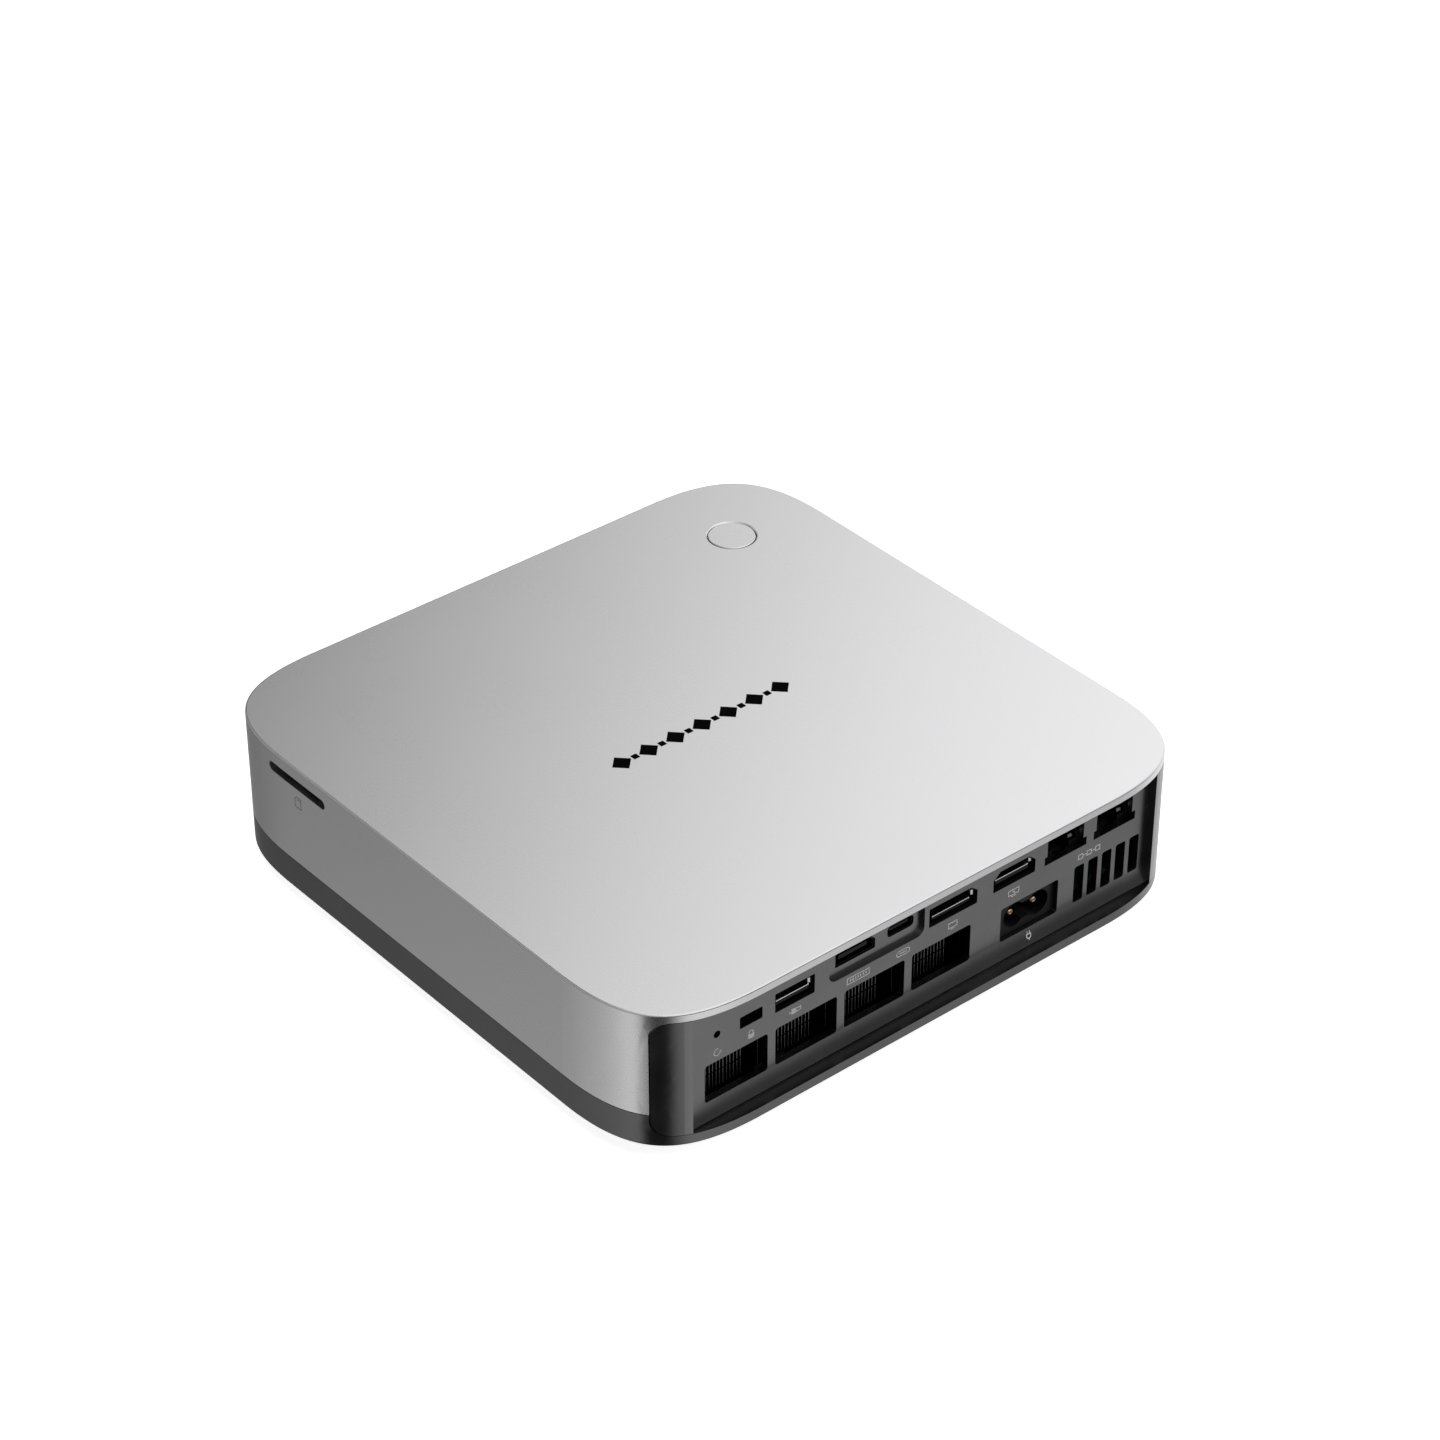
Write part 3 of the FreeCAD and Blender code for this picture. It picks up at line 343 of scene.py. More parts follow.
FINISHES = {
    "shell_aluminium": blasted_aluminium("shell_aluminium", (0.79, 0.79, 0.8), 0.29),
    "button_metal": blasted_aluminium("button_metal", (0.79, 0.79, 0.8), 0.27),
    "dark_case": satin_dark("dark_case", (0.2, 0.2, 0.203), 0.25, metallic=0.95),
    "cover_plate": satin_dark("cover_plate", (0.05, 0.05, 0.052), 0.5, 0.5 * MM, 0.02 * MM),
    "foot_rubber": foot_rubber(),
    "screw_steel": plated("screw_steel", (0.2, 0.2, 0.21), 0.3, (1, 1, 1)),
    "socket_metal": plated("socket_metal", (0.6, 0.59, 0.57), 0.28),
    "socket_plastic": moulded("socket_plastic", (0.009, 0.009, 0.01), 0.45, 0.2),
    "pin_metal": plated("pin_metal", (0.86, 0.66, 0.34), 0.2),
    "board_laminate": board_laminate(),
    "chip_plastic": moulded("chip_plastic", (0.02, 0.02, 0.02), 0.55),
    "copper": tarnished_copper(),
    "fin_aluminium": fins_with_painted_shade(),
    "fan_plastic": moulded("fan_plastic", (0.014, 0.014, 0.015), 0.4, 0.2),
    "motor_metal": plated("motor_metal", (0.42, 0.42, 0.42), 0.35),
    "battery_metal": plated("battery_metal", (0.66, 0.66, 0.66), 0.22, (1, 1, 1)),
    "capacitor_sleeve": moulded("capacitor_sleeve", (0.015, 0.018, 0.05), 0.22),
    "transformer_tape": wrapped_tape(),
    "shield_film": moulded("shield_film", (0.03, 0.03, 0.03), 0.2),
    "light_guide": glowing_guide(),
}
BLACKENED = plated("blackened_metal", (0.025, 0.025, 0.026), 0.4)
BRIGHT_PLATE = plated("bright_plate", (0.92, 0.91, 0.89), 0.2)
INK_LIGHT = printed_ink("ink_light", (0.75, 0.75, 0.75))
INK_FAINT = printed_ink("ink_faint", (0.22, 0.22, 0.22))
INK_BLACK = printed_ink("ink_black", (0.004, 0.004, 0.004), gloss=0.0)

BLACKENED_NODES = (
    "usb_a_rear_shell", "hdmi_shell", "displayport_shell", "expansion_shell", "usb_c_rear_shell",
    "network_shells", "lock_plate",
)
OWN_FINISH = {
    **dict.fromkeys(BLACKENED_NODES, BLACKENED),
    "base_case": satin_dark("base_satin", (0.15, 0.15, 0.152), 0.25, metallic=0.95),
    # painted shade: a darker copy of the contacts' brass, for the pins that sit deep in the inlet
    "mains_pins": plated("mains_pin_brass_shaded", (0.55, 0.4, 0.2), 0.12),
    "card_reader": moulded("card_reader_black", (0.004, 0.004, 0.004), 0.6, 0.05),
}
SLOT_OF = {part["node"]: part["material_slot"] for part in frame["record"]["subparts"]}


def paint_cad_nodes():
    """Gives each CAD node its own finish, or else the one of its material slot."""
    for name, node in NODES.items():
        finish = OWN_FINISH.get(name, FINISHES[SLOT_OF[name]])
        for material_slot in node.material_slots:
            material_slot.material = finish


# ---------------------------------------------------------------- mesh helpers
def add_block(mesh, low, high):
    """Adds a box between two corners."""
    corners = [
        mesh.verts.new((x, y, z))
        for x in (low[0], high[0])
        for y in (low[1], high[1])
        for z in (low[2], high[2])
    ]
    sides = ((0, 1, 3, 2), (4, 6, 7, 5), (0, 4, 5, 1), (2, 3, 7, 6), (0, 2, 6, 4), (1, 5, 7, 3))
    for face in sides:
        mesh.faces.new([corners[i] for i in face])


def add_slab(mesh, lower, upper):
    """Adds a solid between two loops of points, one above the other."""
    below = [mesh.verts.new(point) for point in lower]
    above = [mesh.verts.new(point) for point in upper]
    mesh.faces.new(above)
    mesh.faces.new(below[::-1])
    for i in range(len(below)):
        mesh.faces.new((below[i - 1], below[i], above[i], above[i - 1]))


def add_strip(mesh, path, half_width, thickness):
    """Adds a bent strip of sheet metal along a path; half_width points to its edge."""
    loops = []
    for i, point in enumerate(path):
        run = path[min(i + 1, len(path) - 1)] - path[max(i - 1, 0)]
        lift = run.cross(half_width).normalized() * thickness / 2
        corners = (-half_width - lift, half_width - lift, half_width + lift, -half_width + lift)
        loops.append([mesh.verts.new(point + corner) for corner in corners])
    for before, after in zip(loops, loops[1:]):
        for i in range(4):
            mesh.faces.new((before[i - 1], before[i], after[i], after[i - 1]))
    mesh.faces.new(loops[0][::-1])
    mesh.faces.new(loops[-1])


def finish_piece(name, mesh, material, body="case", soften=0.0):
    """Turns a bmesh into a named piece that rides on a body."""
    bmesh.ops.recalc_face_normals(mesh, faces=mesh.faces)
    data = bpy.data.meshes.new(name)
    mesh.to_mesh(data)
    mesh.free()
    data.materials.append(material)
    piece = bpy.data.objects.new(name, data)
    bpy.context.scene.collection.objects.link(piece)
    if soften:
        bevel = piece.modifiers.new("soft_edges", "BEVEL")
        bevel.width = soften
        bevel.segments = 2
        bevel.limit_method = "ANGLE"
    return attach(piece, body)


def solids_of(node):
    """The points of each separate solid of a node, from the lowest X to the highest."""
    mesh = bmesh.new()
    mesh.from_mesh(NODES[node].data)
    bmesh.ops.remove_doubles(mesh, verts=mesh.verts, dist=0.001 * MM)
    waiting = set(mesh.verts)
    solids = []
    while waiting:
        reached = [waiting.pop()]
        points = []
        while reached:
            at = reached.pop()
            points.append(at.co.copy())
            beside = {edge.other_vert(at) for edge in at.link_edges} & waiting
            waiting -= beside
            reached.extend(beside)
        solids.append(points)
    mesh.free()
    return sorted(solids, key=lambda points: min(point.x for point in points))


def corners_of(points):
    """Lowest and highest corner of the box around some points."""
    return Vector(map(min, zip(*points))), Vector(map(max, zip(*points)))


def boxes_of(node):
    """Lowest and highest corner of each solid of a node."""
    return [corners_of(points) for points in solids_of(node)]


def openings_named(start):
    """Lowest and highest corner of each recorded opening whose name starts so."""
    openings = frame["record"]["physics"]["openings"]
    chosen = [opening for opening in openings if opening["name"].startswith(start)]
    return [tuple(map(Vector, opening["box_m"])) for opening in chosen]


# ---------------------------------------------------------------- printed signs: flat shapes
def ribbon(points, width, closed=False):
    """A line of even width through points of the plane, as one four-sided shape for each run."""
    points = [Vector(point) for point in points]
    count = len(points)
    edges = []
    for i, at in enumerate(points):
        ahead = points[(i + 1) % count] - at if closed or i < count - 1 else at - points[i - 1]
        behind = at - points[i - 1] if closed or i > 0 else ahead
        side = (ahead.normalized().orthogonal() + behind.normalized().orthogonal()).normalized()
        reach = width / 2 / side.dot(ahead.normalized().orthogonal())
        edges.append((at - side * reach, at + side * reach))
    runs = count if closed else count - 1
    pairs = [(edges[i], edges[(i + 1) % count]) for i in range(runs)]
    return [[a[0], b[0], b[1], a[1]] for a, b in pairs]


def arc(x, y, radius, start, end, steps=16):
    """Points of an arc, with its angles in degrees."""
    angles = [math.radians(start + (end - start) * i / steps) for i in range(steps + 1)]
    return [Vector((x + radius * math.cos(a), y + radius * math.sin(a))) for a in angles]


def rectangle(x, y, width, height):
    """A rectangle about a middle."""
    w, h = width / 2, height / 2
    return [Vector((x + a, y + b)) for a, b in ((-w, -h), (w, -h), (w, h), (-w, h))]


def diamond(x, y, width, height):
    """A diamond about a middle."""
    w, h = width / 2, height / 2
    return [Vector((x + a, y + b)) for a, b in ((-w, 0), (0, -h), (w, 0), (0, h))]


# Every sign is drawn in millimetres about its own middle, x to the right and y up.
LINE = 0.3                    # width of a drawn line


def reset_sign():
    """An open ring with an arrowhead."""
    head = [Vector((1.5, 0.35)), Vector((0.65, 0.0)), Vector((1.35, -0.65))]
    return ribbon(arc(0, 0, 1.05, 60, 350, 20), LINE) + [head]


def padlock_sign():
    """A closed padlock."""
    bend = arc(0, 0.6, 0.65, 180, 0, 8)[1:-1]
    shackle = [(-0.65, 0.1), (-0.65, 0.6), *bend, (0.65, 0.6), (0.65, 0.1)]
    return ribbon(shackle, LINE) + [rectangle(0, -0.6, 2.0, 1.4)]


def plug_sign(width):
    """A cable plug lying on its side: lead, grip and a hollow nose."""
    grip = rectangle(-0.1 * width, 0, 0.36 * width, 1.7)
    nose = ribbon(rectangle(0.28 * width, 0, 0.36 * width, 1.05), LINE, closed=True)
    lead = ribbon([(-0.5 * width, 0), (-0.28 * width, 0)], LINE)
    return lead + [grip] + nose


def edge_connector_sign():
    """A long socket with a row of contacts."""
    body = ribbon(rectangle(0, 0, 7.6, 1.9), LINE, closed=True)
    return body + [rectangle(-2.7 + 0.9 * i, 0, 0.4, 0.9) for i in range(7)]


def flat_plug_sign():
    """A rounded plug end with its blade."""
    rim = arc(1.4, 0, 0.85, -90, 90, 8) + arc(-1.4, 0, 0.85, 90, 270, 8)
    return ribbon(rim, LINE, closed=True) + [rectangle(0, 0, 2.6, 0.35)]


SCREEN_MIDDLE = 0.35          # height of a drawn screen's middle


def screen_sign(width):
    """A screen on a stand."""
    panel = ribbon(rectangle(0, SCREEN_MIDDLE, width, 1.6), LINE, closed=True)
    return panel + [rectangle(0, -0.65, LINE, 0.5), rectangle(0, -0.95, 0.45 * width, LINE)]


def filled_screen_sign(width):
    """A screen on a stand, with a block shown on it."""
    return screen_sign(width) + [rectangle(0, SCREEN_MIDDLE, 0.9, 0.5)]


def linked_boxes_sign():
    """Three linked machines."""
    boxes = []
    for x in (-3.2, 0, 3.2):
        boxes += ribbon(rectangle(x, 0, 1.6, 1.4), LINE, closed=True)
    links = [rectangle(x, 0, 1.4, LINE) for x in (-1.6, 1.6)]
    return boxes + links


def mains_sign():
    """A two-pin plug seen from the side."""
    belly = arc(0, -0.3, 0.75, 0, -180, 8)[1:-1]
    body = [(-0.75, 0.25), (0.75, 0.25), (0.75, -0.3), *belly, (-0.75, -0.3)]
    pins = [rectangle(x, 0.75, LINE, 0.8) for x in (-0.4, 0.4)]
    return ribbon(body, LINE, closed=True) + pins + [rectangle(0, -1.3, LINE, 0.4)]


def card_sign():
    """A memory card with a cut corner and its contacts."""
    rim = [(-1.35, -1.7), (1.35, -1.7), (1.35, 1.7), (-0.55, 1.7), (-1.35, 0.9)]
    contacts = [rectangle(-0.1 + 0.6 * i, 1.0, 0.25, 0.6) for i in range(3)]
    return ribbon(rim, LINE, closed=True) + contacts


def sound_sign():
    """Headphones: a band between two ear pads."""
    pads = [rectangle(x, -0.65, 0.5, 1.0) for x in (-1.1, 1.1)]
    return ribbon(arc(0, -0.2, 1.1, 0, 180, 12), LINE) + pads


def top_pattern():
    """A plain row of diamonds with small squares between them."""
    pitch = 9.4
    diamond_size = 6.6
    square_size = 2.0
    diamonds = [diamond(pitch * i, 0, diamond_size, diamond_size) for i in range(-3, 4)]
    squares = [
        rectangle(pitch * (i + 0.5), 0, square_size, square_size) for i in range(-3, 3)
    ]
    return diamonds + squares


SIGN_DROP = 2.75 * MM         # from a USB port's shell down to the middle of its row of signs
MAINS_SIGN_DROP = 2.5 * MM    # the same from the mains inlet to its sign
CARD_SIGN_DROP = 3.7 * MM     # and from the card slot to its sign
INK_PROUD = 0.015 * MM        # how far printed ink stands out of its surface
INK_SUNK = 0.05 * MM          # how far it reaches in, so that it has no open back
PROBE = 12 * MM               # how far outside a surface the search for it starts


def print_sign(name, shapes, node, middle, across, up, ink):
    """Lays flat shapes on the surface of a CAD node, following its curve."""
    depsgraph = bpy.context.evaluated_depsgraph_get()
    surface = BVHTree.FromObject(NODES[node], depsgraph)
    outward = across.cross(up)
    mesh = bmesh.new()
    for shape in shapes:
        lower = []
        upper = []
        for point in shape:
            start = middle + (across * point.x + up * point.y) * MM + outward * PROBE
            spot, normal, _, _ = surface.ray_cast(start, -outward)
            lower.append(spot - normal * INK_SUNK)
            upper.append(spot + normal * INK_PROUD)
        add_slab(mesh, lower, upper)
    return finish_piece(name, mesh, ink)


def centre_x(node):
    """The X of a node's middle."""
    low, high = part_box(node)
    return (low.x + high.x) / 2


def print_rear_signs():
    """The row of signs under the rear ports, and the one under the mains inlet."""
    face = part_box("rear_panel")[1].y
    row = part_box("usb_a_rear_shell")[0].z - SIGN_DROP
    network = boxes_of("network_inserts")
    between = (network[0][0].x + network[-1][1].x) / 2
    signs = {
        "reset_sign": (reset_sign(), centre_x("reset_switch")),
        "padlock_sign": (padlock_sign(), centre_x("lock_plate")),
        "usb_sign": (plug_sign(4.2), centre_x("usb_a_rear_shell")),
        "expansion_sign": (edge_connector_sign(), centre_x("expansion_shell")),
        "usb_c_sign": (flat_plug_sign(), centre_x("usb_c_rear_shell")),
        "displayport_sign": (screen_sign(3.0), centre_x("displayport_shell")),
        "hdmi_sign": (filled_screen_sign(3.8), centre_x("hdmi_shell")),
        "network_sign": (linked_boxes_sign(), between),
    }
    for name, (shapes, x) in signs.items():
        print_sign(name, shapes, "rear_panel", Vector((x, face, row)), -RIGHT, UP, INK_LIGHT)
    inlet = Vector((centre_x("mains_inlet"), face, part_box("mains_inlet")[0].z - MAINS_SIGN_DROP))
    print_sign("mains_sign", mains_sign(), "rear_panel", inlet, -RIGHT, UP, INK_LIGHT)


def print_other_signs():
    """The card sign on the right side, the front signs and the pattern on the top."""
    low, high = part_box("card_reader")
    card = Vector((CAD_BOX[1].x, (low.y + high.y) / 2, low.z - CARD_SIGN_DROP))
    print_sign("card_sign", card_sign(), "top_shell", card, BACK, UP, INK_FAINT)
    front = CAD_BOX[0].y
    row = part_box("usb_a_front_shells")[0].z - SIGN_DROP
    signs = {
        "front_usb_c_sign": (flat_plug_sign(), centre_x("usb_c_front_shell")),
        "sound_sign": (sound_sign(), centre_x("audio_jack")),
    }
    for i, (low, high) in enumerate(boxes_of("usb_a_front_shells")):
        signs[f"front_usb_sign_{i}"] = (plug_sign(4.2), (low.x + high.x) / 2)
    for name, (shapes, x) in signs.items():
        print_sign(name, shapes, "top_shell", Vector((x, front, row)), RIGHT, UP, INK_FAINT)
    top = Vector((0, 0, CAD_BOX[1].z))
    print_sign("top_pattern", top_pattern(), "top_shell", top, RIGHT, BACK, INK_BLACK)


# ---------------------------------------------------------------- cooling fins
FIN_PITCH = 1.16 * MM
FIN_THICK = 0.16 * MM
FIN_BOW = 0.05 * MM           # how far the most bent fin bows out at half height
FOLD_GAP = 0.04 * MM          # from a fin's folded edge to the next fin
FOLD_INSET = 0.4 * MM         # from a fin's rear edge to its folds
FIN_BREAK = 4.7 * MM          # height of the slit in the fins' rear edge
FIN_SLIT = 0.5 * MM           # how wide the slit is
SLIT_DEPTH = 3.0 * MM
SHORT_GROUP = 8 * MM          # width of the shortened fins at one side of each vent
SHORT_START = -2.9 * MM       # where they begin, from the vent's side
SHORT_BY = 6 * MM             # how much shorter they are
LONG_ONE_AT = 2 * MM          # how far into that group one full-length fin stands


def fin_outline(low, rear, high):
    """Side view of one fin in Y and Z: a plain sheet with a slit cut in its rear edge."""
    slit = low.z + FIN_BREAK
    return [
        (low.y, low.z), (rear, low.z), (rear, slit), (rear - SLIT_DEPTH, slit),
        (rear - SLIT_DEPTH, slit + FIN_SLIT), (rear, slit + FIN_SLIT),
        (rear, high.z), (low.y, high.z),
    ]


def rear_edge(x, full):
    """Where the fin at x ends: at one side of each vent they are short, but for one among them."""
    for vent_low, _ in openings_named("exhaust_vent"):
        along = x - vent_low.x - SHORT_START
        is_long_one = LONG_ONE_AT < along < LONG_ONE_AT + FIN_PITCH
        if 0 < along < SHORT_GROUP and not is_long_one:
            return full - SHORT_BY
    return full


def make_fins():
    """Pressed fins with folded edges that space them, none of them quite straight."""
    low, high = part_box("fin_stack")
    fold_low = high.z - FIN_THICK
    mesh = bmesh.new()
    for i in range(int((high.x - low.x) / FIN_PITCH)):
        x = low.x + i * FIN_PITCH
        rear = rear_edge(x, high.y)
        outline = fin_outline(low, rear, high)
        lean = FIN_BOW * math.sin(2.4 * i)
        left = []
        for y, z in outline:
            bow = lean * math.sin(math.pi * (z - low.z) / (high.z - low.z))
            left.append(Vector((x + bow, y, z)))
        add_slab(mesh, left, [point + RIGHT * FIN_THICK for point in left])
        fold_end = x + FIN_PITCH - FOLD_GAP
        for z in (low.z, fold_low):
            corner = (fold_end, rear - FOLD_INSET, z + FIN_THICK)
            add_block(mesh, (x + FIN_THICK, low.y, z), corner)
    add_block(mesh, (low.x, low.y, fold_low + FIN_THICK / 2), (high.x, high.y, high.z))
    fins = finish_piece("pressed_fins", mesh, FINISHES["fin_aluminium"])
    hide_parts("fin_stack")


# ---------------------------------------------------------------- sockets' contacts and springs
NOSE_BAND = 0.5 * MM          # the last part of a tongue, whose corners are its free end
CONTACT_START = 0.6 * MM      # from a tongue's free end to its contacts
CONTACT_HALF = 0.28           # half a contact's width, as a part of their pitch
CONTACT_PROUD = 0.04 * MM
CONTACT_SUNK = 0.1 * MM
NOSE_PROUD = (0.06 * MM, 0.05 * MM)   # how far a nose stands out of its tongue, outwards and up
NOSE_LONG = 0.7 * MM
NOSE_DEEP = 0.2 * MM
SPRING_THICK = 0.15 * MM
SHELL_WALL = 0.35 * MM        # from a shell's outside to the spring inside it
WIRE_PITCH = 1.02 * MM
WIRES = 8                     # wires in a network socket


def tongues_of(node, side):
    """How far out an insert reaches, and the corners of the free end of each tongue."""
    low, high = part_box(node)
    mouth = high.y if side > 0 else low.y
    ends = []
    for points in solids_of(node):
        ends.append(corners_of([point for point in points if abs(point.y - mouth) < NOSE_BAND]))
    return mouth, ends


def add_tongue_contacts(mesh, node, side, count, length):
    """Rows of gold contacts on both faces of each tongue."""
    mouth, tongues = tongues_of(node, side)
    near, far = sorted((mouth - side * CONTACT_START, mouth - side * length))
    for low, high in tongues:
        pitch = (high.x - low.x) / count
        half = pitch * CONTACT_HALF
        faces = (
            (low.z - CONTACT_PROUD, low.z + CONTACT_SUNK),
            (high.z - CONTACT_SUNK, high.z + CONTACT_PROUD),
        )
        for i in range(count):
            x = low.x + pitch * (i + 0.5)
            for bottom, top in faces:
                add_block(mesh, (x - half, near, bottom), (x + half, far, top))


def add_nose(mesh, node, side):
    """The stamped edge along the top of a tongue's nose, which catches the light."""
    outwards, upwards = NOSE_PROUD
    mouth, tongues = tongues_of(node, side)
    near, far = sorted((mouth + side * outwards, mouth - side * NOSE_LONG))
    for low, high in tongues:
        add_block(mesh, (low.x, near, high.z - NOSE_DEEP), (high.x, far, high.z + upwards))


def make_contacts():
    """Contacts on every tongue, and bright noses on those of the larger rear ports."""
    contacts = bmesh.new()
    noses = bmesh.new()
    ports = (                 # insert, the side it faces, contacts on a face, their length
        ("usb_a_rear_insert", 1, 4, 8 * MM), ("hdmi_insert", 1, 19, 6 * MM),
        ("displayport_insert", 1, 20, 6 * MM), ("expansion_insert", 1, 20, 6 * MM),
        ("usb_c_rear_insert", 1, 12, 4 * MM), ("usb_a_front_inserts", -1, 4, 8 * MM),
        ("usb_c_front_insert", -1, 12, 4 * MM),
    )
    for node, side, count, length in ports:
        add_tongue_contacts(contacts, node, side, count, length)
    for node in ("usb_a_rear_insert", "hdmi_insert", "displayport_insert"):
        add_nose(noses, node, 1)
    finish_piece("tongue_contacts", contacts, FINISHES["pin_metal"])
    finish_piece("tongue_noses", noses, BRIGHT_PLATE)


def add_wall_spring(mesh, at, inward, half_width, depth):
    """A bent spring finger: a lip folded across the mouth, then a bow back to the wall."""
    bow = ((0.0, 0.0), (0.7, 0.04), (0.8, 0.35), (0.7, 0.65), (0.0, 1.0))
    path = [at + inward * bend * MM + FRONT * depth * part for bend, part in bow]
    add_strip(mesh, path, half_width, SPRING_THICK)


def make_port_springs():
    """Side springs of the two screen ports and the full-size USB port, inside their shells."""
    mesh = bmesh.new()
    for node in ("hdmi_shell", "displayport_shell", "usb_a_rear_shell"):
        low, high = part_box(node)
        mouth = high.y - 0.5 * MM
        tongue_ends = tongues_of(node.replace("shell", "insert"), 1)[1]
        z = tongue_ends[0][1].z + 0.9 * MM
        for x, inward in ((low.x + SHELL_WALL, RIGHT), (high.x - SHELL_WALL, -RIGHT)):
            add_wall_spring(mesh, Vector((x, mouth, z)), inward * 0.8, UP * 0.75 * MM, 5 * MM)
    finish_piece("port_springs", mesh, FINISHES["socket_metal"])


def make_network_details():
    """Inside each network socket: eight gold wires and the shield's bright springs."""
    wires = bmesh.new()
    springs = bmesh.new()
    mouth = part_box("network_inserts")[1].y
    for low, high in openings_named("network_socket"):
        middle = (low + high) / 2
        for i in range(WIRES):
            x = middle.x + (i - (WIRES - 1) / 2) * WIRE_PITCH
            path = [
                Vector((x, mouth - 3 * MM, high.z)),
                Vector((x, mouth - 4 * MM, high.z - 0.4 * MM)),
                Vector((x, mouth - 10.5 * MM, high.z - 3.6 * MM)),
                Vector((x, mouth - 11.5 * MM, high.z - 3.2 * MM)),
            ]
            add_strip(wires, path, RIGHT * 0.2 * MM, 0.3 * MM)
        for x, inward in ((low.x, RIGHT), (high.x, -RIGHT)):
            wall = Vector((x, mouth, middle.z))
            add_wall_spring(springs, wall, inward * 1.9, UP * 1.7 * MM, 6 * MM)
            floor = Vector((x, mouth, low.z)) + inward * 1.1 * MM
            add_wall_spring(springs, floor, UP * 1.1, RIGHT * 0.8 * MM, 6 * MM)
    finish_piece("network_wires", wires, FINISHES["pin_metal"])
    finish_piece("network_springs", springs, BRIGHT_PLATE)


# ---------------------------------------------------------------- underside
SCREEN_PART = 0.74            # the screen's width, as a part of the cover's
SCREEN_PITCH = 1.0 * MM
SCREEN_WIRE = 0.32 * MM
SCREEN_GAP = 0.1 * MM         # from the cover to the screen


def make_dust_screen():
    """Screen of crossed wires behind the intake slots, a little wider than their field."""
    cover_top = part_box("bottom_cover")[1]
    half = SCREEN_PART * cover_top.x
    first = cover_top.z + SCREEN_GAP
    second = first + SCREEN_WIRE
    thick = SCREEN_WIRE / 2
    mesh = bmesh.new()
    for i in range(int(2 * half / SCREEN_PITCH) + 1):
        at = -half + i * SCREEN_PITCH
        add_block(mesh, (at - thick, -half, first), (at + thick, half, second))
        add_block(mesh, (-half, at - thick, second), (half, at + thick, second + SCREEN_WIRE))
    finish_piece("dust_screen", mesh, FINISHES["fan_plastic"])


# ---------------------------------------------------------------- studio
AZIMUTH = math.radians(140)   # the camera's place, 0 being in front and 90 to the right
ELEVATION = math.radians(35)
AIM = Vector((0, 7.7, 53.1)) * MM
DISTANCE = 1.0875             # from the aim to the camera
LENS = 100                    # focal length in millimetres, and the sensor's width
SENSOR = 36
TOWARDS_CAMERA = Vector((
    math.sin(AZIMUTH) * math.cos(ELEVATION),
    -math.cos(AZIMUTH) * math.cos(ELEVATION),
    math.sin(ELEVATION),
))
VIEW_RIGHT = Vector((math.cos(AZIMUTH), math.sin(AZIMUTH), 0))


def make_camera():
    """A camera that looks down at the rear and the right side."""
    camera = bpy.data.objects.new("camera", bpy.data.cameras.new("camera"))
    camera.data.lens = LENS
    camera.data.sensor_width = SENSOR
    camera.data.clip_start = 0.01
    camera.data.clip_end = 50
    camera.location = AIM + TOWARDS_CAMERA * DISTANCE
    camera.rotation_mode = "QUATERNION"
    camera.rotation_quaternion = (-TOWARDS_CAMERA).to_track_quat("-Z", "Y")
    bpy.context.scene.collection.objects.link(camera)
    bpy.context.scene.camera = camera


def make_floor():
    """A plain pale floor, softly lit of itself, that the object doesn't mirror."""
    g = Graph("floor", (0.93, 0.93, 0.93), 0.9)
    g.shader.inputs["Specular IOR Level"].default_value = 0.1
    g.shader.inputs["Emission Color"].default_value = (1, 1, 1, 1)
    g.shader.inputs["Emission Strength"].default_value = 0.8
    mesh = bmesh.new()
    bmesh.ops.create_grid(mesh, x_segments=1, y_segments=1, size=8)
    data = bpy.data.meshes.new("floor")
    mesh.to_mesh(data)
    mesh.free()
    data.materials.append(g.material)
    floor = bpy.data.objects.new("floor", data)
    floor.visible_glossy = False
    floor.visible_diffuse = False
    bpy.context.scene.collection.objects.link(floor)


def add_softbox(name, towards, distance, size, power):
    """A square soft light that looks at the object from a direction."""
    light = bpy.data.lights.new(name, "AREA")
    light.size = size
    light.energy = power
    lamp = bpy.data.objects.new(name, light)
    direction = towards.normalized()
    lamp.location = direction * distance
    lamp.rotation_mode = "QUATERNION"
    lamp.rotation_quaternion = (-direction).to_track_quat("-Z", "Y")
    lamp.visible_glossy = False
    bpy.context.scene.collection.objects.link(lamp)


# What the metal mirrors, as (place, brightness) across the view from -1, left, to 1, right.
# Near is the camera's side of the object and far the other; low is under the horizon.
NEAR_LOW = (
    (-1.0, 0.0), (-0.93, 0.07), (-0.8, 0.38), (-0.6, 0.68), (-0.42, 0.76), (-0.35, 0.02),
    (0.08, 0.02), (0.4, 0.86), (0.7, 0.8), (0.82, 0.48), (0.95, 0.2), (1.0, 0.18),
)
NEAR_LEVEL = ((-1.0, 0.3), (-0.5, 0.3), (0.3, 0.12), (1.0, 0.12))
NEAR_HIGH = ((-1.0, 0.38), (-0.6, 0.42), (0.4, 1.1), (1.0, 1.1))
FAR_LOW = ((-1.0, 0.0), (-0.8, 0.02), (-0.68, 0.2), (-0.4, 0.2), (0.1, 0.95), (1.0, 1.0))
FAR_HIGH = (
    (-1.0, 0.75), (-0.55, 0.6), (-0.25, 0.0), (0.1, 0.0), (0.17, 0.32), (0.29, 1.02), (0.37, 1.2),
    (0.52, 1.22), (0.7, 0.92), (1.0, 0.85),
)
BACKDROP = 0.86               # brightness of the backdrop itself, above the far end of the floor
SKY_TILT = 0.47               # how much height counts as a place further right, in FAR_HIGH


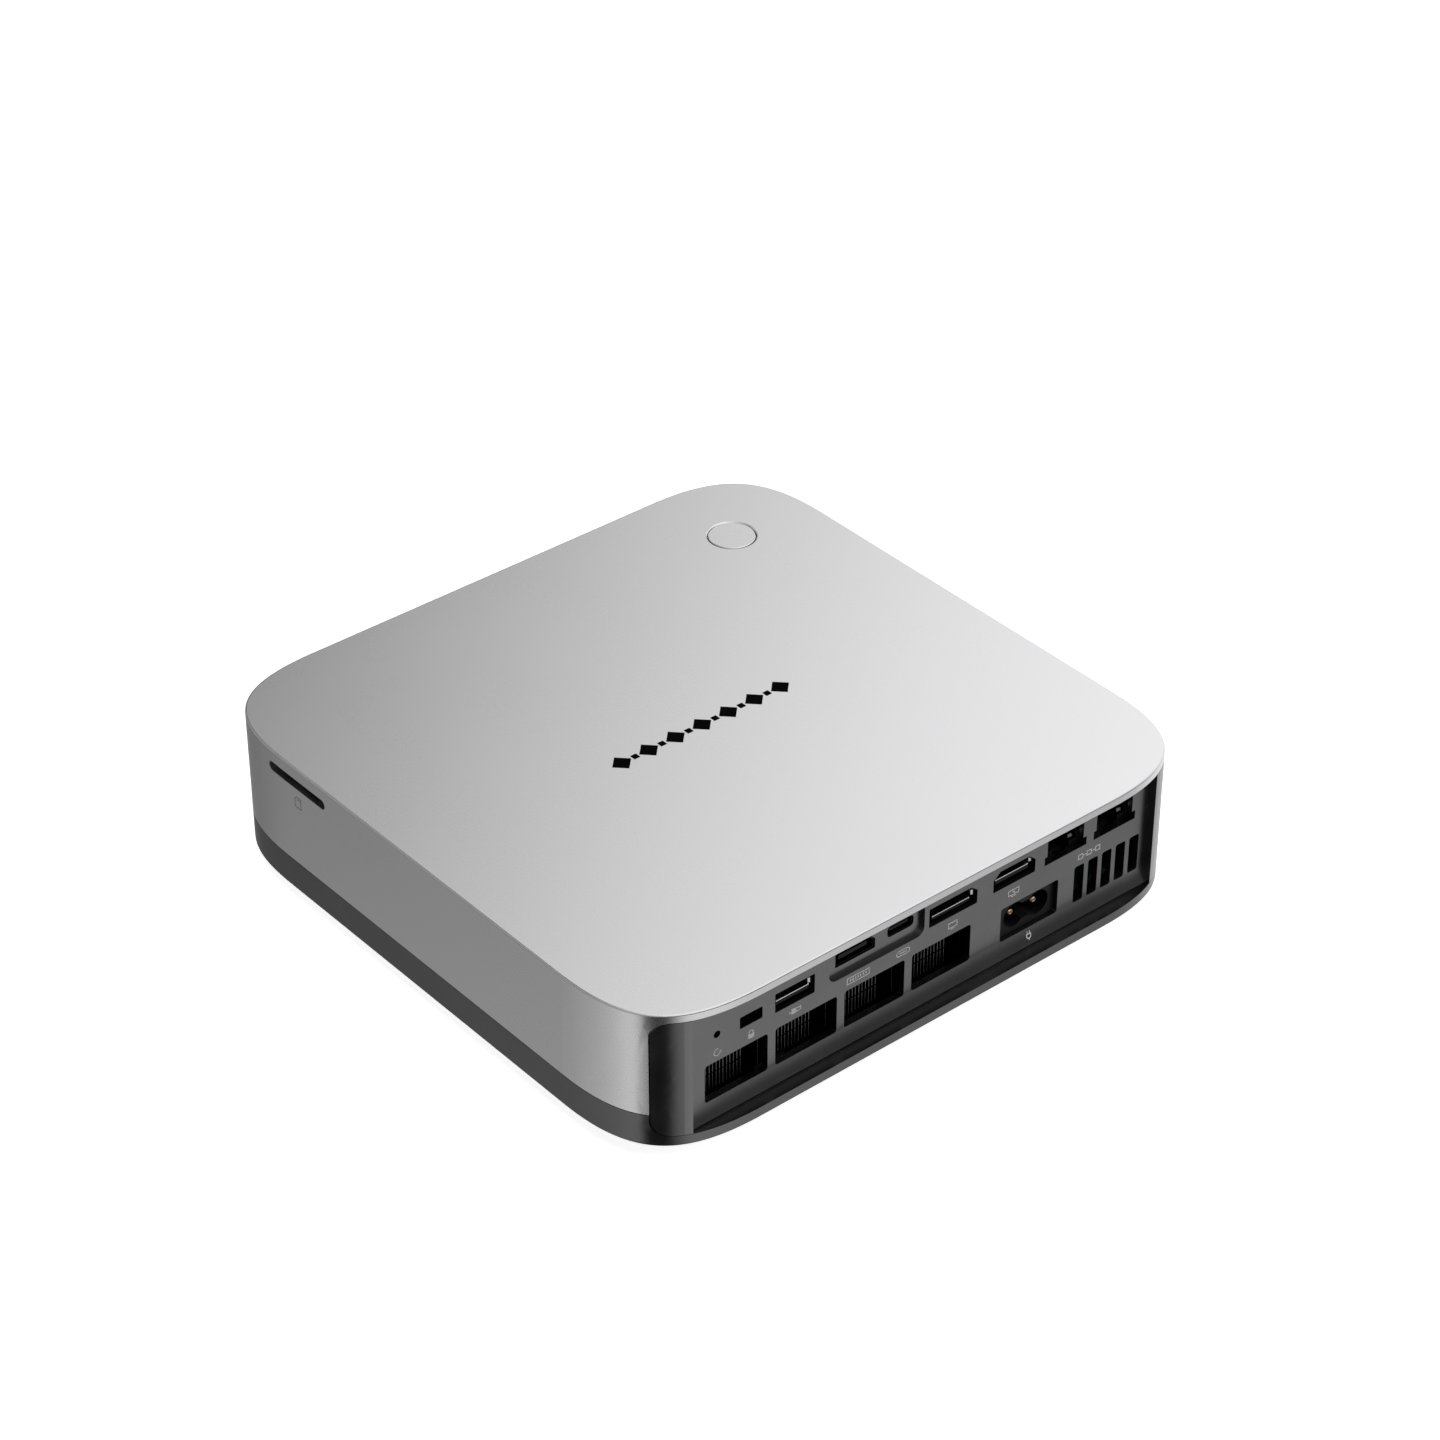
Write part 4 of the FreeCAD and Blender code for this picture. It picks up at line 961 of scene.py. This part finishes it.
class Surroundings(Nodes):
    """The world being made: brightness by direction, with short calls for its nodes."""

    def __init__(self, world):
        self.tree = world.node_tree
        self.place = self.add("ShaderNodeTexCoord").outputs["Generated"]

    def lean(self, direction):
        """How far each direction leans towards this one."""
        node = self.add("ShaderNodeVectorMath", operation="DOT_PRODUCT")
        node.inputs[1].default_value = direction
        self.feed(node.inputs[0], self.place)
        return node.outputs["Value"]

    def profile(self, value, stops):
        """Brightness along a direction, in straight steps between the stops."""
        node = self.add("ShaderNodeFloatCurve")
        node.mapping.clip_min_x = -1
        node.mapping.clip_max_y = 2
        points = node.mapping.curves[0].points
        for _ in stops[2:]:
            points.new(0, 0)
        for point, stop in zip(points, stops):
            point.location = stop
            point.handle_type = "VECTOR"
        node.mapping.update()
        self.feed(node.inputs["Value"], value)
        return node.outputs["Value"]


def make_world():
    """Studio surroundings: dark to the view's left, bright to its right, softly blended."""
    world = bpy.data.worlds.new("studio")
    bpy.context.scene.world = world
    world.use_nodes = True
    s = Surroundings(world)
    across = s.lean(VIEW_RIGHT)
    height = s.lean(UP)
    away = s.lean((-TOWARDS_CAMERA * Vector((1, 1, 0))).normalized())
    ground = s.profile(across, NEAR_LOW)
    below = s.remap(height, -0.5, -0.2, ground, s.profile(across, NEAR_LEVEL))
    near = s.remap(height, 0.25, 0.45, below, s.profile(across, NEAR_HIGH))
    tilted = s.lean(VIEW_RIGHT + UP * SKY_TILT)
    far = s.remap(height, -0.1, 0.1, s.profile(across, FAR_LOW), s.profile(tilted, FAR_HIGH))
    mirrored = s.remap(away, 0.0, 0.5, near, far)
    seen = s.add("ShaderNodeLightPath").outputs["Is Camera Ray"]
    background = s.tree.nodes["Background"]
    background.inputs["Color"].default_value = (1, 1, 1, 1)
    s.feed(background.inputs["Strength"], s.remap(seen, 0.0, 1.0, mirrored, BACKDROP))
    world.cycles_visibility.diffuse = False


def make_studio():
    """Camera, floor, surroundings and three soft lights."""
    make_camera()
    make_floor()
    make_world()
    add_softbox("overhead", UP, 1.6, 1.4, 14)
    add_softbox("left", UP * 0.25 - VIEW_RIGHT, 1.6, 0.8, 10)
    add_softbox("right", UP * 0.25 + VIEW_RIGHT, 1.6, 0.8, 20)


# ---------------------------------------------------------------- the whole scene
for old in [o for o in bpy.data.objects if o.type in {"LIGHT", "CAMERA"}]:
    bpy.data.objects.remove(old)
bpy.context.scene.view_settings.view_transform = "Standard"
make_studio()
paint_cad_nodes()
make_fins()
make_contacts()
make_port_springs()
make_network_details()
make_dust_screen()
print_rear_signs()
print_other_signs()
